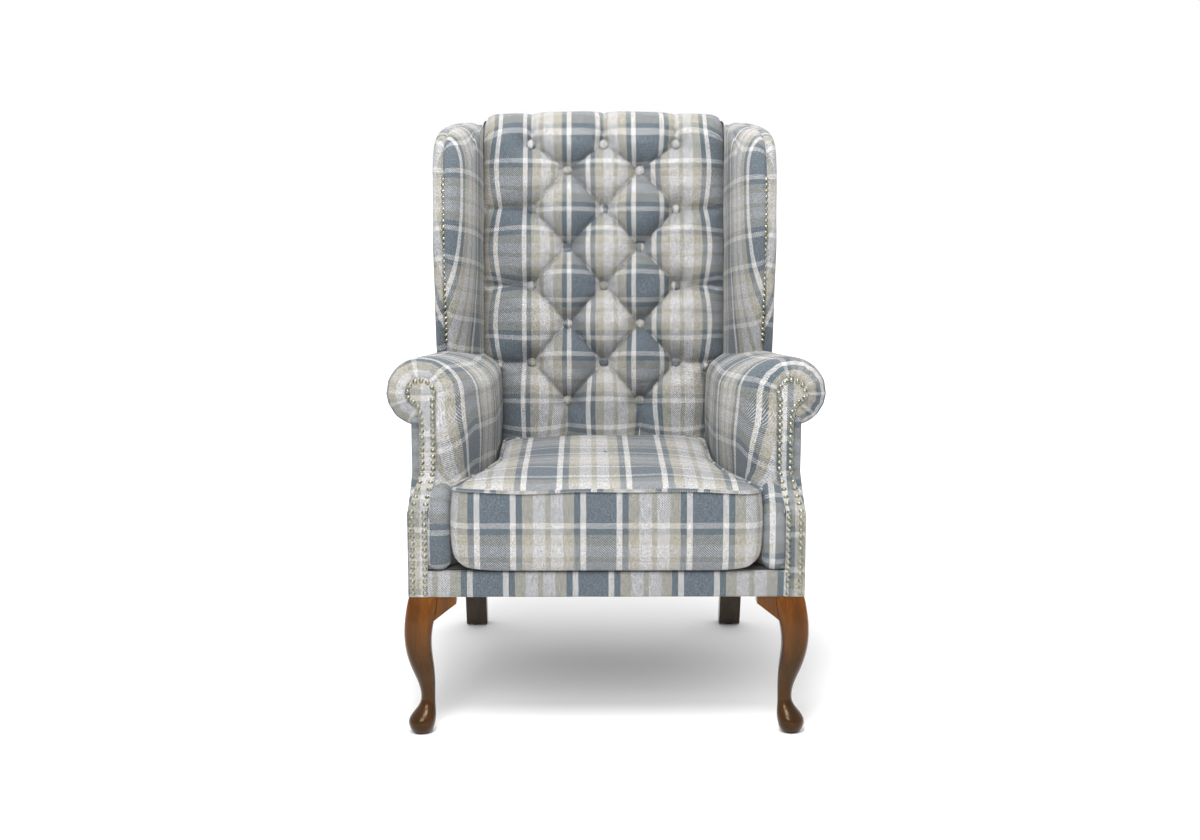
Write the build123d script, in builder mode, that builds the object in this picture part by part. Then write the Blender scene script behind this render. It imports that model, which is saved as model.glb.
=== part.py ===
"""Buttoned wing fireside chair with scroll arms, cabriole front legs and a loose seat cushion.

All sizes are in millimetres. The chair stands on z = 0 and faces -Y, and x = 0 is its middle.
Pieces that come in pairs are built on the right-hand side (+X) and mirrored to the left.
"""
from build123d import *
from math import atan, cos, radians, sin, sqrt
import os

os.makedirs("parts", exist_ok=True)

# ---------------------------------------------------------------- driving dimensions
# Plan of the upholstered outside, at the seat rail
HALF_FRONT = 355.0  # half the width across the front border
HALF_REAR = 315.0  # half the width across the outside back
FRONT_Y = -385.0  # face of the front border
REAR_Y = 280.0  # face of the outside back, at the seat rail

# Heights
GLIDE_H = 3.0  # nylon glide under each foot
LEG_TOP = 258.0  # underside of the seat rails and of their cover
RAIL_H = 30.0  # front and back seat rails
SIDE_RAIL_H = 68.0
BORDER_TOP = LEG_TOP + 45.0  # top of the front border, under the cushion

# Timber and cover
BOARD_T = 24.0  # arm fronts and wing boards
BOARD_W = 34.0  # the wing board, from front to back
RAIL_T = 28.0
FRONT_RAIL_DEPTH = 50.0
COVER_T = 8.0  # padded cover over a board
PANEL_T = 4.0  # plain outside cover
FIT = 0.3  # clearance between soft pieces

# Seat cushion
CUSHION_GAP = 5.0  # from the inside of each arm
CUSHION_FRONT_Y = FRONT_Y - 16.0
CUSHION_REAR_Y = REAR_Y - 130.0
CUSHION_BOTTOM = BORDER_TOP + 3.5
CUSHION_WELT = CUSHION_BOTTOM + 146.5
CUSHION_CROWN = 21.0
CUSHION_CORNER = 42.0
PIPING_R = 3.2
ZIP_L = 300.0

# Arms
SCROLL_Y = FRONT_Y + 60.0  # face of the scroll
SCROLL_X = HALF_FRONT - 22.5
SCROLL_Z = CUSHION_WELT + 163.5
SCROLL_R = 28.4
TAIL_ANGLE = -20.0  # the round edge of the scroll ends here on the outer side, degrees from level
TAIL_END = 48.0  # the neck begins this far below the middle of the scroll
SCROLL_TAIL = [  # between the two, from the middle of the scroll: outer edge, height, row of nails
    (16.5, -17.5, 9.7),
    (10.5, -24.0, 4.7),
    (6.5, -31.0, 1.6),
]
NECK_IN = HALF_FRONT - 48.0  # inner and outer edge of the scroll's neck
NECK_OUT = HALF_FRONT - 19.0
FOOT_IN = HALF_FRONT - 35.5  # inner and outer edge of the arm front below the neck
FOOT_OUT = HALF_FRONT - 4.0
KINK_Z = CUSHION_WELT - 41.0  # the arm front sweeps back from here...
NECK_Z = KINK_Z + 58.0  # ...to here
NECK_EASE = 12.0  # the neck's inner edge meets the scroll this far below its middle
ROLL_R = 63.0
ROLL_X = HALF_FRONT - 19.0
ROLL_Z = SCROLL_Z - 2.5
ROLL_TAPER = 0.72  # radius of the roll at the back posts, against the front
ROLL_DROP = 32.0  # the roll is this much lower at the back posts
ARM_REAR_Y = REAR_Y - 44.0  # the arm pads end against the back posts
ARM_RAIL_W = 36.0
ARM_RAIL_H = 22.0

# Back, leaning on the rear posts
BACK_RAKE = 8.53  # degrees from upright
BACK_POST_W = 45.0
BACK_POST_T = 34.0
BACK_TOP = 832.0  # length of the posts above the rail, along the lean
REAR_FOOT_Y = REAR_Y + 81.0  # middle of the rear foot on the floor
REAR_FOOT = 37.0
BACK_FOAM = 66.0  # depth of the stuffing at the button line
TUFT_RISE = 42.0  # how far a diamond stands proud of the buttons
BACK_HALF_LOW = HALF_REAR - 103.0  # half width of the stuffing between the arms
BACK_HALF_HIGH = HALF_REAR - 71.5  # half width of the stuffing between the wings
TUFT_PITCH = BACK_HALF_LOW - 62.0  # button to button, across
TUFT_ROWS = 7
TOP_BUTTON = BACK_TOP - 46.0  # row of buttons on the top roll
TUFT_SEAT_END = CUSHION_WELT - LEG_TOP - 45.0  # the stuffed cells end here, behind the cushion
TUFT_FIRST = TUFT_SEAT_END + 105.0  # lowest button row above the rail
TUFT_ROW = (TOP_BUTTON - 54.0 - TUFT_FIRST) / (TUFT_ROWS - 1)  # button row to button row
ARM_LINE = SCROLL_Z - LEG_TOP + 19.5  # along the lean, where the arms end and the wings start
BUTTON_R = 10.5
BUTTON_H = 7.0

# Inside face of the arm: depth, and half the width between the two arms there
ARM_INSIDE = [
    (FRONT_Y, HALF_FRONT - 73.3),
    (SCROLL_Y, HALF_FRONT - 81.0),
    (SCROLL_Y + 102.0, HALF_FRONT - 118.5),
    (SCROLL_Y + 225.0, BACK_HALF_LOW + FIT),
    (ARM_REAR_Y, BACK_HALF_LOW + FIT),
]

# Wings: share of the height from the arm to the top corner, and how far forward the padded edge is
WING_LOW = SCROLL_Z + 35.5
WING_TOP = LEG_TOP + BACK_TOP - 8.0
WING_CORNER = WING_TOP - 40.0
WING_EDGE = [(0.0, 246.0), (0.277, 276.0), (0.585, 294.0), (0.841, 288.0), (1.0, 254.0)]
WING_LEVELS = [
    (WING_LOW + share * (WING_CORNER - WING_LOW), REAR_Y - forward) for share, forward in WING_EDGE]
WING_ROLL = 32.0  # width of the padded front edge
WING_NAIL_X = HALF_FRONT - 43.0

# Front legs
LEG_W = 50.0
EAR_L = 34.0
EAR_H = 52.0
EAR_T = 30.0

# Nails and fasteners
NAIL_R = 4.6
NAIL_H = 2.8
NAIL_PITCH = 11.3
DOWEL_R = 4.0
DOWEL_L = 40.0
BOLT_R = 4.0
SCREW_R = 2.2
SCREW_HEAD_R = 4.2
SCREW_L = 48.0

# Springs and webbing
SPRING_COUNT = 5
SPRING_WIRE_R = 1.8
SPRING_BAR_L = 34.0  # straight bar between two bends
SPRING_TURN_R = 11.0
WEB_W = 50.0
WEB_T = 1.5

# ---------------------------------------------------------------- shared lines and planes
SIDE_SLOPE = (HALF_FRONT - HALF_REAR) / (REAR_Y - FRONT_Y)
SIDE_ANGLE = atan(SIDE_SLOPE)
RAIL_TOP = LEG_TOP + RAIL_H
POST_FRONT_Y = REAR_Y - PANEL_T - BACK_POST_T - FIT
UP = 2000.0  # longer than the chair, for cutting tools


def outer_x(y):
    """Half width of the upholstered outside at depth y."""
    return HALF_FRONT - SIDE_SLOPE * (y - FRONT_Y)


def between(points, at):
    """Value at a place along a list of (place, value) points; the end runs carry on past the list."""
    spans = list(zip(points, points[1:]))
    inside = [span for span in spans if at <= span[1][0]] or spans[-1:]
    (low, value_low), (high, value_high) = inside[0]
    return value_low + (value_high - value_low) * (at - low) / (high - low)


def arm_inner_x(y):
    """Inside face of the arm at depth y: it swells inwards behind the scroll, then runs straight."""
    return between(ARM_INSIDE, y)


def wing_front_y(z):
    """Padded front edge of the wing at height z."""
    return between(WING_LEVELS, min(z, WING_CORNER))


def arm_front_y(z):
    """Face of the arm front at height z: upright, swept back, then upright again."""
    share = min(max((z - KINK_Z) / (NECK_Z - KINK_Z), 0.0), 1.0)
    return FRONT_Y + (SCROLL_Y - FRONT_Y) * share


# Across the chair, up along the lean, and forward out of the back
back_plane = Plane(
    origin=(0, POST_FRONT_Y, LEG_TOP),
    x_dir=(1, 0, 0),
    z_dir=(0, -cos(radians(BACK_RAKE)), sin(radians(BACK_RAKE))),
)
# Along the right-hand side towards the rear, up, and outwards
side_plane = Plane(
    origin=(outer_x(0), 0, 0),
    x_dir=(-sin(SIDE_ANGLE), cos(SIDE_ANGLE), 0),
    z_dir=(cos(SIDE_ANGLE), sin(SIDE_ANGLE), 0),
)


BACK_TOP_Z = LEG_TOP + BACK_TOP * cos(radians(BACK_RAKE))


def lean_y(z, forward=0.0):
    """Depth of the post's front face at height z, or of a layer that far in front of it."""
    along = (z - LEG_TOP - forward * sin(radians(BACK_RAKE))) / cos(radians(BACK_RAKE))
    return POST_FRONT_Y + along * sin(radians(BACK_RAKE)) - forward * cos(radians(BACK_RAKE))


# ---------------------------------------------------------------- helpers
def save(piece, name):
    """Write one node."""
    piece.label = name
    export_step(piece, f"parts/{name}.step")


def save_pair(piece, name):
    """Write a right-hand piece, and its mirror image as the left-hand one."""
    save(piece, f"{name}_right")
    save(mirror(piece, about=Plane.YZ, mode=Mode.PRIVATE), f"{name}_left")


def slab(plane, points, thickness):
    """A flat piece: an outline on a plane, made thick along the plane's normal."""
    with BuildPart() as piece:
        with BuildSketch(plane):
            with BuildLine():
                Polyline(*points, close=True)
            make_face()
        extrude(amount=thickness)
    return piece.part


def plan_block(points, z_low, z_high):
    """A piece with the same outline from z_low to z_high."""
    return slab(Plane.XY.offset(z_low), points, z_high - z_low)


def cut_away(piece, *tools):
    """The piece with the room of other pieces taken out of it."""
    with BuildPart() as trimmed:
        add(piece)
        for tool in tools:
            add(tool, mode=Mode.SUBTRACT)
    return trimmed.part


def both_sides(piece):
    """A right-hand piece and its mirror image, kept as separate solids in one node."""
    with BuildPart() as pair:
        add(piece)
        mirror(about=Plane.YZ)
    return pair.part


# ---------------------------------------------------------------- front legs
# Height as a share of the leg, how far the outer face stands beyond the rail's corner,
# width of the section, and how round its corners are
LEG_PROFILE = [
    (1.00, 0.0, LEG_W, 0.25),
    (0.91, 5.5, 54.0, 0.35),
    (0.78, 9.5, 50.5, 0.50),
    (0.64, 8.5, 46.0, 0.62),
    (0.46, -1.8, 39.5, 0.80),
    (0.29, -15.6, 26.6, 0.92),
    (0.19, -13.5, 28.6, 0.95),
    (0.11, 2.0, 45.4, 0.97),
    (0.07, 5.6, 48.0, 0.97),
    (0.00, -1.0, 34.0, 0.97),
]
LEG_CORNER_X = HALF_FRONT - 1.5
LEG_CORNER_Y = FRONT_Y + 1.5


def leg_centre(stand_out, width):
    """Middle of a leg section, on the leg's diagonal."""
    return LEG_CORNER_X + stand_out - width / 2, LEG_CORNER_Y - stand_out + width / 2


def cabriole_leg():
    """A swelling knee, a thin ankle and a pad foot, in one smooth loft."""
    with BuildPart() as leg:
        for share, stand_out, width, roundness in LEG_PROFILE:
            with BuildSketch(Plane.XY.offset(GLIDE_H + share * (LEG_TOP - GLIDE_H))):
                with Locations(leg_centre(stand_out, width)):
                    RectangleRounded(width, width, roundness * width / 2)
        loft()
    return leg.part


def knee_ear():
    """The bracket that eases the knee into the rail, for the side towards the middle."""
    with BuildPart() as ear:
        with BuildSketch(Plane.XZ.offset(-LEG_CORNER_Y - 4.0)):
            inner = LEG_CORNER_X - LEG_W
            with BuildLine():
                Polyline((inner - EAR_L, LEG_TOP - 14.0), (inner - EAR_L, LEG_TOP), (inner + 14.0, LEG_TOP),
                         (inner + 14.0, LEG_TOP - EAR_H))
                ThreePointArc((inner + 14.0, LEG_TOP - EAR_H), (inner - 4.0, LEG_TOP - 0.72 * EAR_H),
                              (inner - EAR_L, LEG_TOP - 14.0))
            make_face()
        extrude(amount=-EAR_T)
    return ear.part


front_leg = cabriole_leg()
side_ear = knee_ear()
leg_diagonal = Plane(origin=(LEG_CORNER_X, LEG_CORNER_Y, 0), z_dir=(1, 1, 0))
rear_ear = mirror(side_ear, about=leg_diagonal, mode=Mode.PRIVATE)
with BuildPart() as knee_ears:
    add(side_ear)
    add(rear_ear)
    add(front_leg, mode=Mode.SUBTRACT)

# ---------------------------------------------------------------- seat frame
frame_front = FRONT_Y + COVER_T
front_rail_back = frame_front + FRONT_RAIL_DEPTH
post_outer = outer_x(lean_y(BACK_TOP_Z, -BACK_POST_T)) - COVER_T - FIT
post_inner = post_outer - BACK_POST_W
post_rear_y = POST_FRONT_Y + BACK_POST_T

front_rail = plan_block(
    [(-outer_x(frame_front) + COVER_T, frame_front), (outer_x(frame_front) - COVER_T, frame_front),
     (outer_x(front_rail_back) - COVER_T, front_rail_back),
     (-outer_x(front_rail_back) + COVER_T, front_rail_back)],
    LEG_TOP, RAIL_TOP)


def side_strip(y_near, y_far, gap, width, z_low, z_high):
    """A rail that follows the chair's side: gap in from the outside, from y_near to y_far."""
    return plan_block(
        [(outer_x(y_near) - gap, y_near), (outer_x(y_far) - gap, y_far),
         (outer_x(y_far) - gap - width, y_far), (outer_x(y_near) - gap - width, y_near)],
        z_low, z_high)


side_rail = side_strip(front_rail_back, POST_FRONT_Y, COVER_T, RAIL_T, LEG_TOP, LEG_TOP + SIDE_RAIL_H)
back_rail = plan_block(
    [(-post_inner, POST_FRONT_Y), (post_inner, POST_FRONT_Y), (post_inner, post_rear_y),
     (-post_inner, post_rear_y)], LEG_TOP, RAIL_TOP)


def rear_post():
    """One timber from the floor to the top of the back: a raked leg, then the leaning upright."""
    rear_top_z = BACK_TOP_Z - BACK_POST_T * sin(radians(BACK_RAKE))
    with BuildPart() as post:
        with BuildSketch(Plane.YZ.offset(post_inner)):
            with BuildLine():
                Polyline(
                    (REAR_FOOT_Y - REAR_FOOT / 2, GLIDE_H), (POST_FRONT_Y, LEG_TOP),
                    (lean_y(BACK_TOP_Z), BACK_TOP_Z), (lean_y(rear_top_z, -BACK_POST_T), rear_top_z),
                    (lean_y(LEG_TOP, -BACK_POST_T), LEG_TOP), (REAR_FOOT_Y + REAR_FOOT / 2, GLIDE_H),
                    close=True)
            make_face()
        extrude(amount=BACK_POST_W)
    return post.part


back_post = rear_post()


def corner_block(corner_x, corner_y, towards_rear):
    """A triangular glue block in the corner of two rails."""
    leg = 62.0
    step = leg * towards_rear
    return plan_block(
        [(corner_x, corner_y), (corner_x - leg, corner_y), (corner_x - SIDE_SLOPE * step, corner_y + step)],
        LEG_TOP, RAIL_TOP)


front_corner = (outer_x(front_rail_back) - COVER_T - RAIL_T, front_rail_back)
rear_corner = (outer_x(POST_FRONT_Y) - COVER_T - RAIL_T, POST_FRONT_Y)
with BuildPart() as corner_blocks_right:
    add(corner_block(*front_corner, 1.0))
    add(corner_block(*rear_corner, -1.0))



def back_cross_rail(low, high):
    """A rail between the two posts, from low to high along the lean."""
    return slab(
        back_plane.offset(-BACK_POST_T),
        [(-post_inner, low), (post_inner, low), (post_inner, high), (-post_inner, high)], BACK_POST_T)


back_top_rail = back_cross_rail(BACK_TOP - 60.0, BACK_TOP)
back_tack_rail = back_cross_rail(88.0, 123.0)

# ---------------------------------------------------------------- arm frame


def arm_front_layer(outline, near, far):
    """A piece of the arm front: an outline seen from the front, cut from a swept-back layer."""
    face = [(LEG_TOP, FRONT_Y), (KINK_Z, FRONT_Y), (NECK_Z, SCROLL_Y), (UP, SCROLL_Y)]
    layer = [(y + near, z) for z, y in face] + [(y + far, z) for z, y in reversed(face)]
    with BuildPart() as piece:
        with BuildSketch(Plane.YZ):
            with BuildLine():
                Polyline(*layer, close=True)
            make_face()
        extrude(amount=UP)
        with BuildSketch(Plane.XZ):
            add(outline)
        extrude(amount=UP, both=True, mode=Mode.INTERSECT)
    return piece.part


def scroll_outline(bottom, outer_foot):
    """The arm front seen from the front: a straight foot, a neck and the round scroll."""
    with BuildSketch() as outline:
        with BuildLine():
            top = CenterArc((SCROLL_X, SCROLL_Z), SCROLL_R, TAIL_ANGLE, 180.0 - TAIL_ANGLE)
            tail = [(SCROLL_X + x, SCROLL_Z + z) for x, z, _ in SCROLL_TAIL]
            Polyline(top @ 1, (NECK_IN, SCROLL_Z - NECK_EASE), (NECK_IN, NECK_Z), (FOOT_IN, KINK_Z),
                     (FOOT_IN, bottom), (outer_foot, bottom), (outer_foot, KINK_Z), (NECK_OUT, NECK_Z),
                     (NECK_OUT, SCROLL_Z - TAIL_END), *reversed(tail), top @ 0)
        make_face()
    return outline.sketch


post_foot_x = outer_x(FRONT_Y + COVER_T + BOARD_T) - COVER_T - FIT
arm_post = arm_front_layer(scroll_outline(RAIL_TOP, post_foot_x), COVER_T, COVER_T + BOARD_T)
arm_facing = arm_front_layer(scroll_outline(LEG_TOP, outer_x(FRONT_Y) - 0.5), 0.0, COVER_T - FIT)

scroll_back_y = SCROLL_Y + COVER_T + BOARD_T
arm_rail_z = SCROLL_Z + 3.5 - ARM_RAIL_H
arm_rail_out = HALF_FRONT - 19.4
arm_rail_end_y = lean_y(arm_rail_z)
arm_top_rail = plan_block(
    [(arm_rail_out, scroll_back_y), (arm_rail_out - ARM_RAIL_W, scroll_back_y),
     (post_outer - ARM_RAIL_W, arm_rail_end_y), (post_outer, arm_rail_end_y)],
    arm_rail_z, arm_rail_z + ARM_RAIL_H)
tack_rail_z = LEG_TOP + SIDE_RAIL_H + 18.0
tack_front_y = FRONT_Y + COVER_T + BOARD_T
tack_rear_y = lean_y(tack_rail_z)
arm_tack_rail = side_strip(tack_front_y, tack_rear_y, COVER_T + 3.0, 20.0, tack_rail_z, tack_rail_z + 22.0)

# ---------------------------------------------------------------- wing frame
wing_bottom = arm_rail_z + ARM_RAIL_H
wing_board_in = 26.0  # padding in front of the wing board
wing_rail_h = 28.0


def wing_board():
    """The shaped upright of the wing, standing on the arm rail."""
    levels = [(wing_bottom, WING_LEVELS[0][1])] + WING_LEVELS
    front = [(y + wing_board_in, z) for z, y in levels]
    rear = [(y + wing_board_in + BOARD_W, z) for z, y in reversed(levels)]
    return slab(side_plane.offset(-COVER_T), front + rear, -BOARD_T)


wing_post = wing_board()
wing_front_top = WING_LEVELS[-1][1] + wing_board_in
wing_rail_z = WING_LEVELS[-1][0]
wing_top_rail = slab(
    side_plane.offset(-COVER_T),
    [(wing_front_top, wing_rail_z), (lean_y(wing_rail_z) / cos(SIDE_ANGLE), wing_rail_z),
     (lean_y(wing_rail_z + wing_rail_h) / cos(SIDE_ANGLE), wing_rail_z + wing_rail_h),
     (wing_front_top + BOARD_W, wing_rail_z + wing_rail_h)], -BOARD_T)

# ---------------------------------------------------------------- dowels, screws and bolts


def rod_y(x, y, z, radius, length):
    """A round rod along Y, centred on the point."""
    with BuildPart() as rod:
        with Locations(Location((x, y, z), (90, 0, 0))):
            Cylinder(radius, length)
    return rod.part


dowel_x_front = outer_x(front_rail_back) - COVER_T - RAIL_T / 2 + 6.0
dowel_x_rear = outer_x(POST_FRONT_Y) - COVER_T - RAIL_T / 2
dowel_x_arm = arm_rail_out - ARM_RAIL_W / 2
arm_rail_mid_z = arm_rail_z + ARM_RAIL_H / 2
with BuildPart() as dowels_right:
    for step in (-1, 1):
        add(rod_y(dowel_x_front, front_rail_back, LEG_TOP + RAIL_H / 2 + 7.0 * step, DOWEL_R, DOWEL_L))
        add(rod_y(dowel_x_arm + 8.0 * step, scroll_back_y, arm_rail_mid_z, DOWEL_R, DOWEL_L))
        add(rod_y(dowel_x_rear, POST_FRONT_Y, LEG_TOP + SIDE_RAIL_H / 2 + 18.0 * step, DOWEL_R, DOWEL_L))


def screw(x, y, z, heading):
    """A countersunk wood screw, head first at the point, driven along heading degrees in plan."""
    with BuildPart() as piece:
        with Locations(Location((x, y, z), (0, 90, heading))):
            Cylinder(SCREW_R, SCREW_L, align=(Align.CENTER, Align.CENTER, Align.MIN))
            Cone(SCREW_HEAD_R, SCREW_R, SCREW_HEAD_R - SCREW_R + 1.0,
                 align=(Align.CENTER, Align.CENTER, Align.MIN))
    return piece.part


block_middle = 24.0  # along each leg of the block, from its corner
screw_low = LEG_TOP + 5.5
screw_high = LEG_TOP + RAIL_H - 6.0
block_set_in = 31.0  # from the corner to where the screw head lies
with BuildPart() as screws_right:
    add(screw(front_corner[0] - block_set_in, front_corner[1] + block_middle, screw_low, 0))
    add(screw(front_corner[0] - block_middle, front_corner[1] + block_set_in - 6.0, screw_high, -90))
    add(screw(rear_corner[0] - block_set_in, rear_corner[1] - block_middle, screw_low, 0))

bolt_x = LEG_CORNER_X - LEG_W / 2 - 4.0
bolt_y = front_rail_back - 15.0
bolt_in_leg = 28.0
washer_r = 9.0
with BuildPart() as leg_bolt:
    with Locations((bolt_x, bolt_y, LEG_TOP - bolt_in_leg)):
        Cylinder(BOLT_R, RAIL_H + bolt_in_leg + 11.0, align=(Align.CENTER, Align.CENTER, Align.MIN))
with BuildPart() as leg_nut:
    with BuildSketch(Plane.XY.offset(RAIL_TOP)):
        with Locations((bolt_x, bolt_y)):
            Circle(washer_r)
    extrude(amount=1.6)
    with BuildSketch(Plane.XY.offset(RAIL_TOP + 1.6)):
        with Locations((bolt_x, bolt_y)):
            RegularPolygon(7.5, 6)
    extrude(amount=6.5)
    with Locations((bolt_x, bolt_y, RAIL_TOP)):
        Cylinder(BOLT_R, 30.0, mode=Mode.SUBTRACT)

fixings = (dowels_right.part, screws_right.part, leg_bolt.part)
fixings_both = tuple(both_sides(piece) for piece in fixings)

save_pair(cut_away(front_leg, leg_bolt.part), "front_leg")
save_pair(cut_away(knee_ears.part, leg_bolt.part), "knee_ears")
save(cut_away(front_rail, *fixings_both), "front_rail")
save(back_rail, "back_rail")
save_pair(cut_away(side_rail, *fixings), "side_rail")
save_pair(cut_away(back_post, *fixings), "back_post")
save(both_sides(cut_away(corner_blocks_right.part, screws_right.part)), "corner_blocks")
save(fixings_both[0], "frame_dowels")
save(fixings_both[1], "corner_block_screws")
save(fixings_both[2], "front_leg_bolts")
save(both_sides(leg_nut.part), "front_leg_nuts")
save(back_top_rail, "back_top_rail")
save(back_tack_rail, "back_tack_rail")
save_pair(cut_away(arm_post, dowels_right.part), "arm_front_post")
save_pair(cut_away(arm_top_rail, dowels_right.part), "arm_top_rail")
save_pair(arm_tack_rail, "arm_tack_rail")
save_pair(wing_post, "wing_post")
save_pair(wing_top_rail, "wing_top_rail")

# ---------------------------------------------------------------- foot glides
foot_x, foot_y = leg_centre(LEG_PROFILE[-1][1], LEG_PROFILE[-1][2])
with BuildPart() as glides_right:
    with Locations((foot_x, foot_y, 0), (post_outer - BACK_POST_W / 2, REAR_FOOT_Y, 0)):
        Cylinder(13.0, GLIDE_H, align=(Align.CENTER, Align.CENTER, Align.MIN))
save(both_sides(glides_right.part), "foot_glides")

# ---------------------------------------------------------------- seat springs, deck and webbing
clip_l = 14.0
spring_z = RAIL_TOP + SPRING_WIRE_R + 1.2
spring_front_y = front_rail_back - 20.0
spring_rear_y = POST_FRONT_Y + 12.0
spring_gap = 2 * (post_inner - 40.0) / (SPRING_COUNT - 1)
spring_places = [(i - (SPRING_COUNT - 1) / 2) * spring_gap for i in range(SPRING_COUNT)]


def spring():
    """A sinuous spring: straight ends, and bars joined by half-turn bends from side to side."""
    lead = 34.0
    turn = SPRING_TURN_R
    reach = SPRING_BAR_L / 2
    usable = spring_rear_y - spring_front_y - 2 * lead
    half_turns = 2 * int(usable / (4 * turn))
    y = spring_front_y + lead + (usable - half_turns * 2 * turn) / 2
    side = -1
    bend = turn * cos(radians(45))
    with BuildPart() as wire:
        with BuildLine(Plane.XY.offset(spring_z)):
            Line((0, spring_front_y), (0, y - turn))
            ThreePointArc((0, y - turn), (bend - turn, y - turn + bend), (-turn, y))
            Line((-turn, y), (side * reach, y))
            for number in range(half_turns):
                ThreePointArc((side * reach, y), (side * (reach + turn), y + turn),
                              (side * reach, y + 2 * turn))
                y += 2 * turn
                if number < half_turns - 1:
                    Line((side * reach, y), (-side * reach, y))
                    side = -side
            Line((side * reach, y), (side * turn, y))
            ThreePointArc((side * turn, y), (side * (turn - bend), y + turn - bend), (0, y + turn))
            Line((0, y + turn), (0, spring_rear_y))
        with BuildSketch(Plane.XZ.offset(-spring_front_y)):
            with Locations((0, spring_z)):
                Circle(SPRING_WIRE_R)
        sweep()
    return wire.part


one_spring = spring()
with BuildPart() as springs:
    for x in spring_places:
        add(one_spring.moved(Location((x, 0, 0))))
with BuildPart() as clips:
    with Locations(*[(x, y, RAIL_TOP) for x in spring_places
                     for y in (spring_front_y + clip_l / 2, spring_rear_y - clip_l / 2)]):
        Box(16.0, clip_l, 2 * SPRING_WIRE_R + 2.4, align=(Align.CENTER, Align.CENTER, Align.MIN))
    add(springs.part, mode=Mode.SUBTRACT)
save(springs.part, "seat_springs")
save(clips.part, "spring_clips")

deck_front_y = FRONT_Y + COVER_T + 4.0
deck_z = spring_z + SPRING_WIRE_R + 1.3


def deck_layer(z_low, thickness):
    """A layer of the seat deck, from the front rail to the back, between the arms."""
    rear_y = lean_y(z_low, BACK_FOAM) - FIT
    return plan_block(
        [(-arm_inner_x(deck_front_y), deck_front_y), (arm_inner_x(deck_front_y), deck_front_y),
         (arm_inner_x(rear_y), rear_y), (-arm_inner_x(rear_y), rear_y)], z_low, z_low + thickness)


felt_t = 6.0
save(deck_layer(deck_z, felt_t), "deck_felt")
save(deck_layer(deck_z + felt_t, CUSHION_BOTTOM - FIT - deck_z - felt_t), "platform_cloth")

web_side = BACK_HALF_LOW - 50.0
with BuildPart() as webbing:
    with BuildSketch(back_plane):
        for step in range(5):
            with Locations((0, 160.0 + 140.0 * step)):
                Rectangle(2 * post_inner + 60.0, WEB_W)
    extrude(amount=WEB_T)
    with BuildSketch(back_plane.offset(WEB_T)):
        for x in (-web_side, 0.0, web_side):
            with Locations((x, (105.0 + BACK_TOP - 20.0) / 2)):
                Rectangle(WEB_W, BACK_TOP - 125.0)
    extrude(amount=WEB_T)
save(webbing.part, "back_webbing")

# ---------------------------------------------------------------- buttoned back
pad_start = 2 * WEB_T + FIT
top_edge = BACK_TOP + 30.0
stuffing_bottom = 52.0
slab_top = TOP_BUTTON + 20.0


def button_places():
    """Every button on the back plane: rows of three and two in turn, and the top row of three."""
    places = []
    for row in range(TUFT_ROWS):
        columns = (-1, 0, 1) if row % 2 else (-0.5, 0.5)
        places += [(column * TUFT_PITCH, TUFT_FIRST + row * TUFT_ROW) for column in columns]
    return places + [(column * TUFT_PITCH, TOP_BUTTON) for column in (-1, 0, 1)]


def tuft_cells():
    """The outline of each stuffed cell between the buttons, as points on the back plane."""
    half = TUFT_PITCH / 2
    top_row = TUFT_FIRST + (TUFT_ROWS - 1) * TUFT_ROW
    seam = TOP_BUTTON + 30.0
    cells = []
    for row in range(1, TUFT_ROWS - 1):
        mid = TUFT_FIRST + row * TUFT_ROW
        columns = (-0.5, 0.5) if row % 2 else (0,)
        for x in [column * TUFT_PITCH for column in columns]:
            cells.append([(x, mid - TUFT_ROW), (x + half, mid), (x, mid + TUFT_ROW), (x - half, mid)])
    cells.append([(0, top_row - TUFT_ROW), (half, top_row), (0, TOP_BUTTON), (-half, top_row)])
    cells.append([(0, TUFT_FIRST + TUFT_ROW), (-half, TUFT_FIRST), (-half, TUFT_SEAT_END),
                  (half, TUFT_SEAT_END), (half, TUFT_FIRST)])
    for side in (-1, 1):
        inner, outer = side * half, side * TUFT_PITCH
        for row in range(1, TUFT_ROWS - 2, 2):
            low = TUFT_FIRST + row * TUFT_ROW
            high = low + 2 * TUFT_ROW
            narrow, wide = side * BACK_HALF_LOW, side * BACK_HALF_HIGH
            edge = [(wide, low), (wide, high)]
            if low < ARM_LINE < high:
                edge = [(narrow, low), (narrow, ARM_LINE), (wide, ARM_LINE), (wide, high)]
            cells.append([(outer, low), *edge, (outer, high), (inner, low + TUFT_ROW)])
        low = top_row - TUFT_ROW
        edge = side * BACK_HALF_HIGH
        cells.append([(outer, low), (edge, low), (edge, seam), (outer, seam), (outer, TOP_BUTTON),
                      (inner, top_row)])
        cells.append([(inner, top_row), (outer, TOP_BUTTON), (outer, seam), (0, seam), (0, TOP_BUTTON)])
        edge = side * BACK_HALF_LOW
        cells.append([(outer, TUFT_FIRST + TUFT_ROW), (inner, TUFT_FIRST), (inner, TUFT_SEAT_END),
                      (edge, TUFT_SEAT_END), (edge, TUFT_FIRST + TUFT_ROW)])
    return cells


def tuft(points):
    """One stuffed cell: the outline, drawn in towards its middle as it rises."""
    mid_x = sum(x for x, _ in points) / len(points)
    mid_t = sum(t for _, t in points) / len(points)
    with BuildPart() as dome:
        for keep, rise in ((1.0, 0.0), (0.88, 0.50), (0.68, 0.82), (0.40, 1.0)):
            with BuildSketch(back_plane.offset(BACK_FOAM + rise * TUFT_RISE)):
                with BuildLine():
                    Polyline(*[(mid_x + keep * (x - mid_x), mid_t + keep * (t - mid_t)) for x, t in points],
                             close=True)
                make_face()
        loft(ruled=True)
    return dome.part


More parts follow.
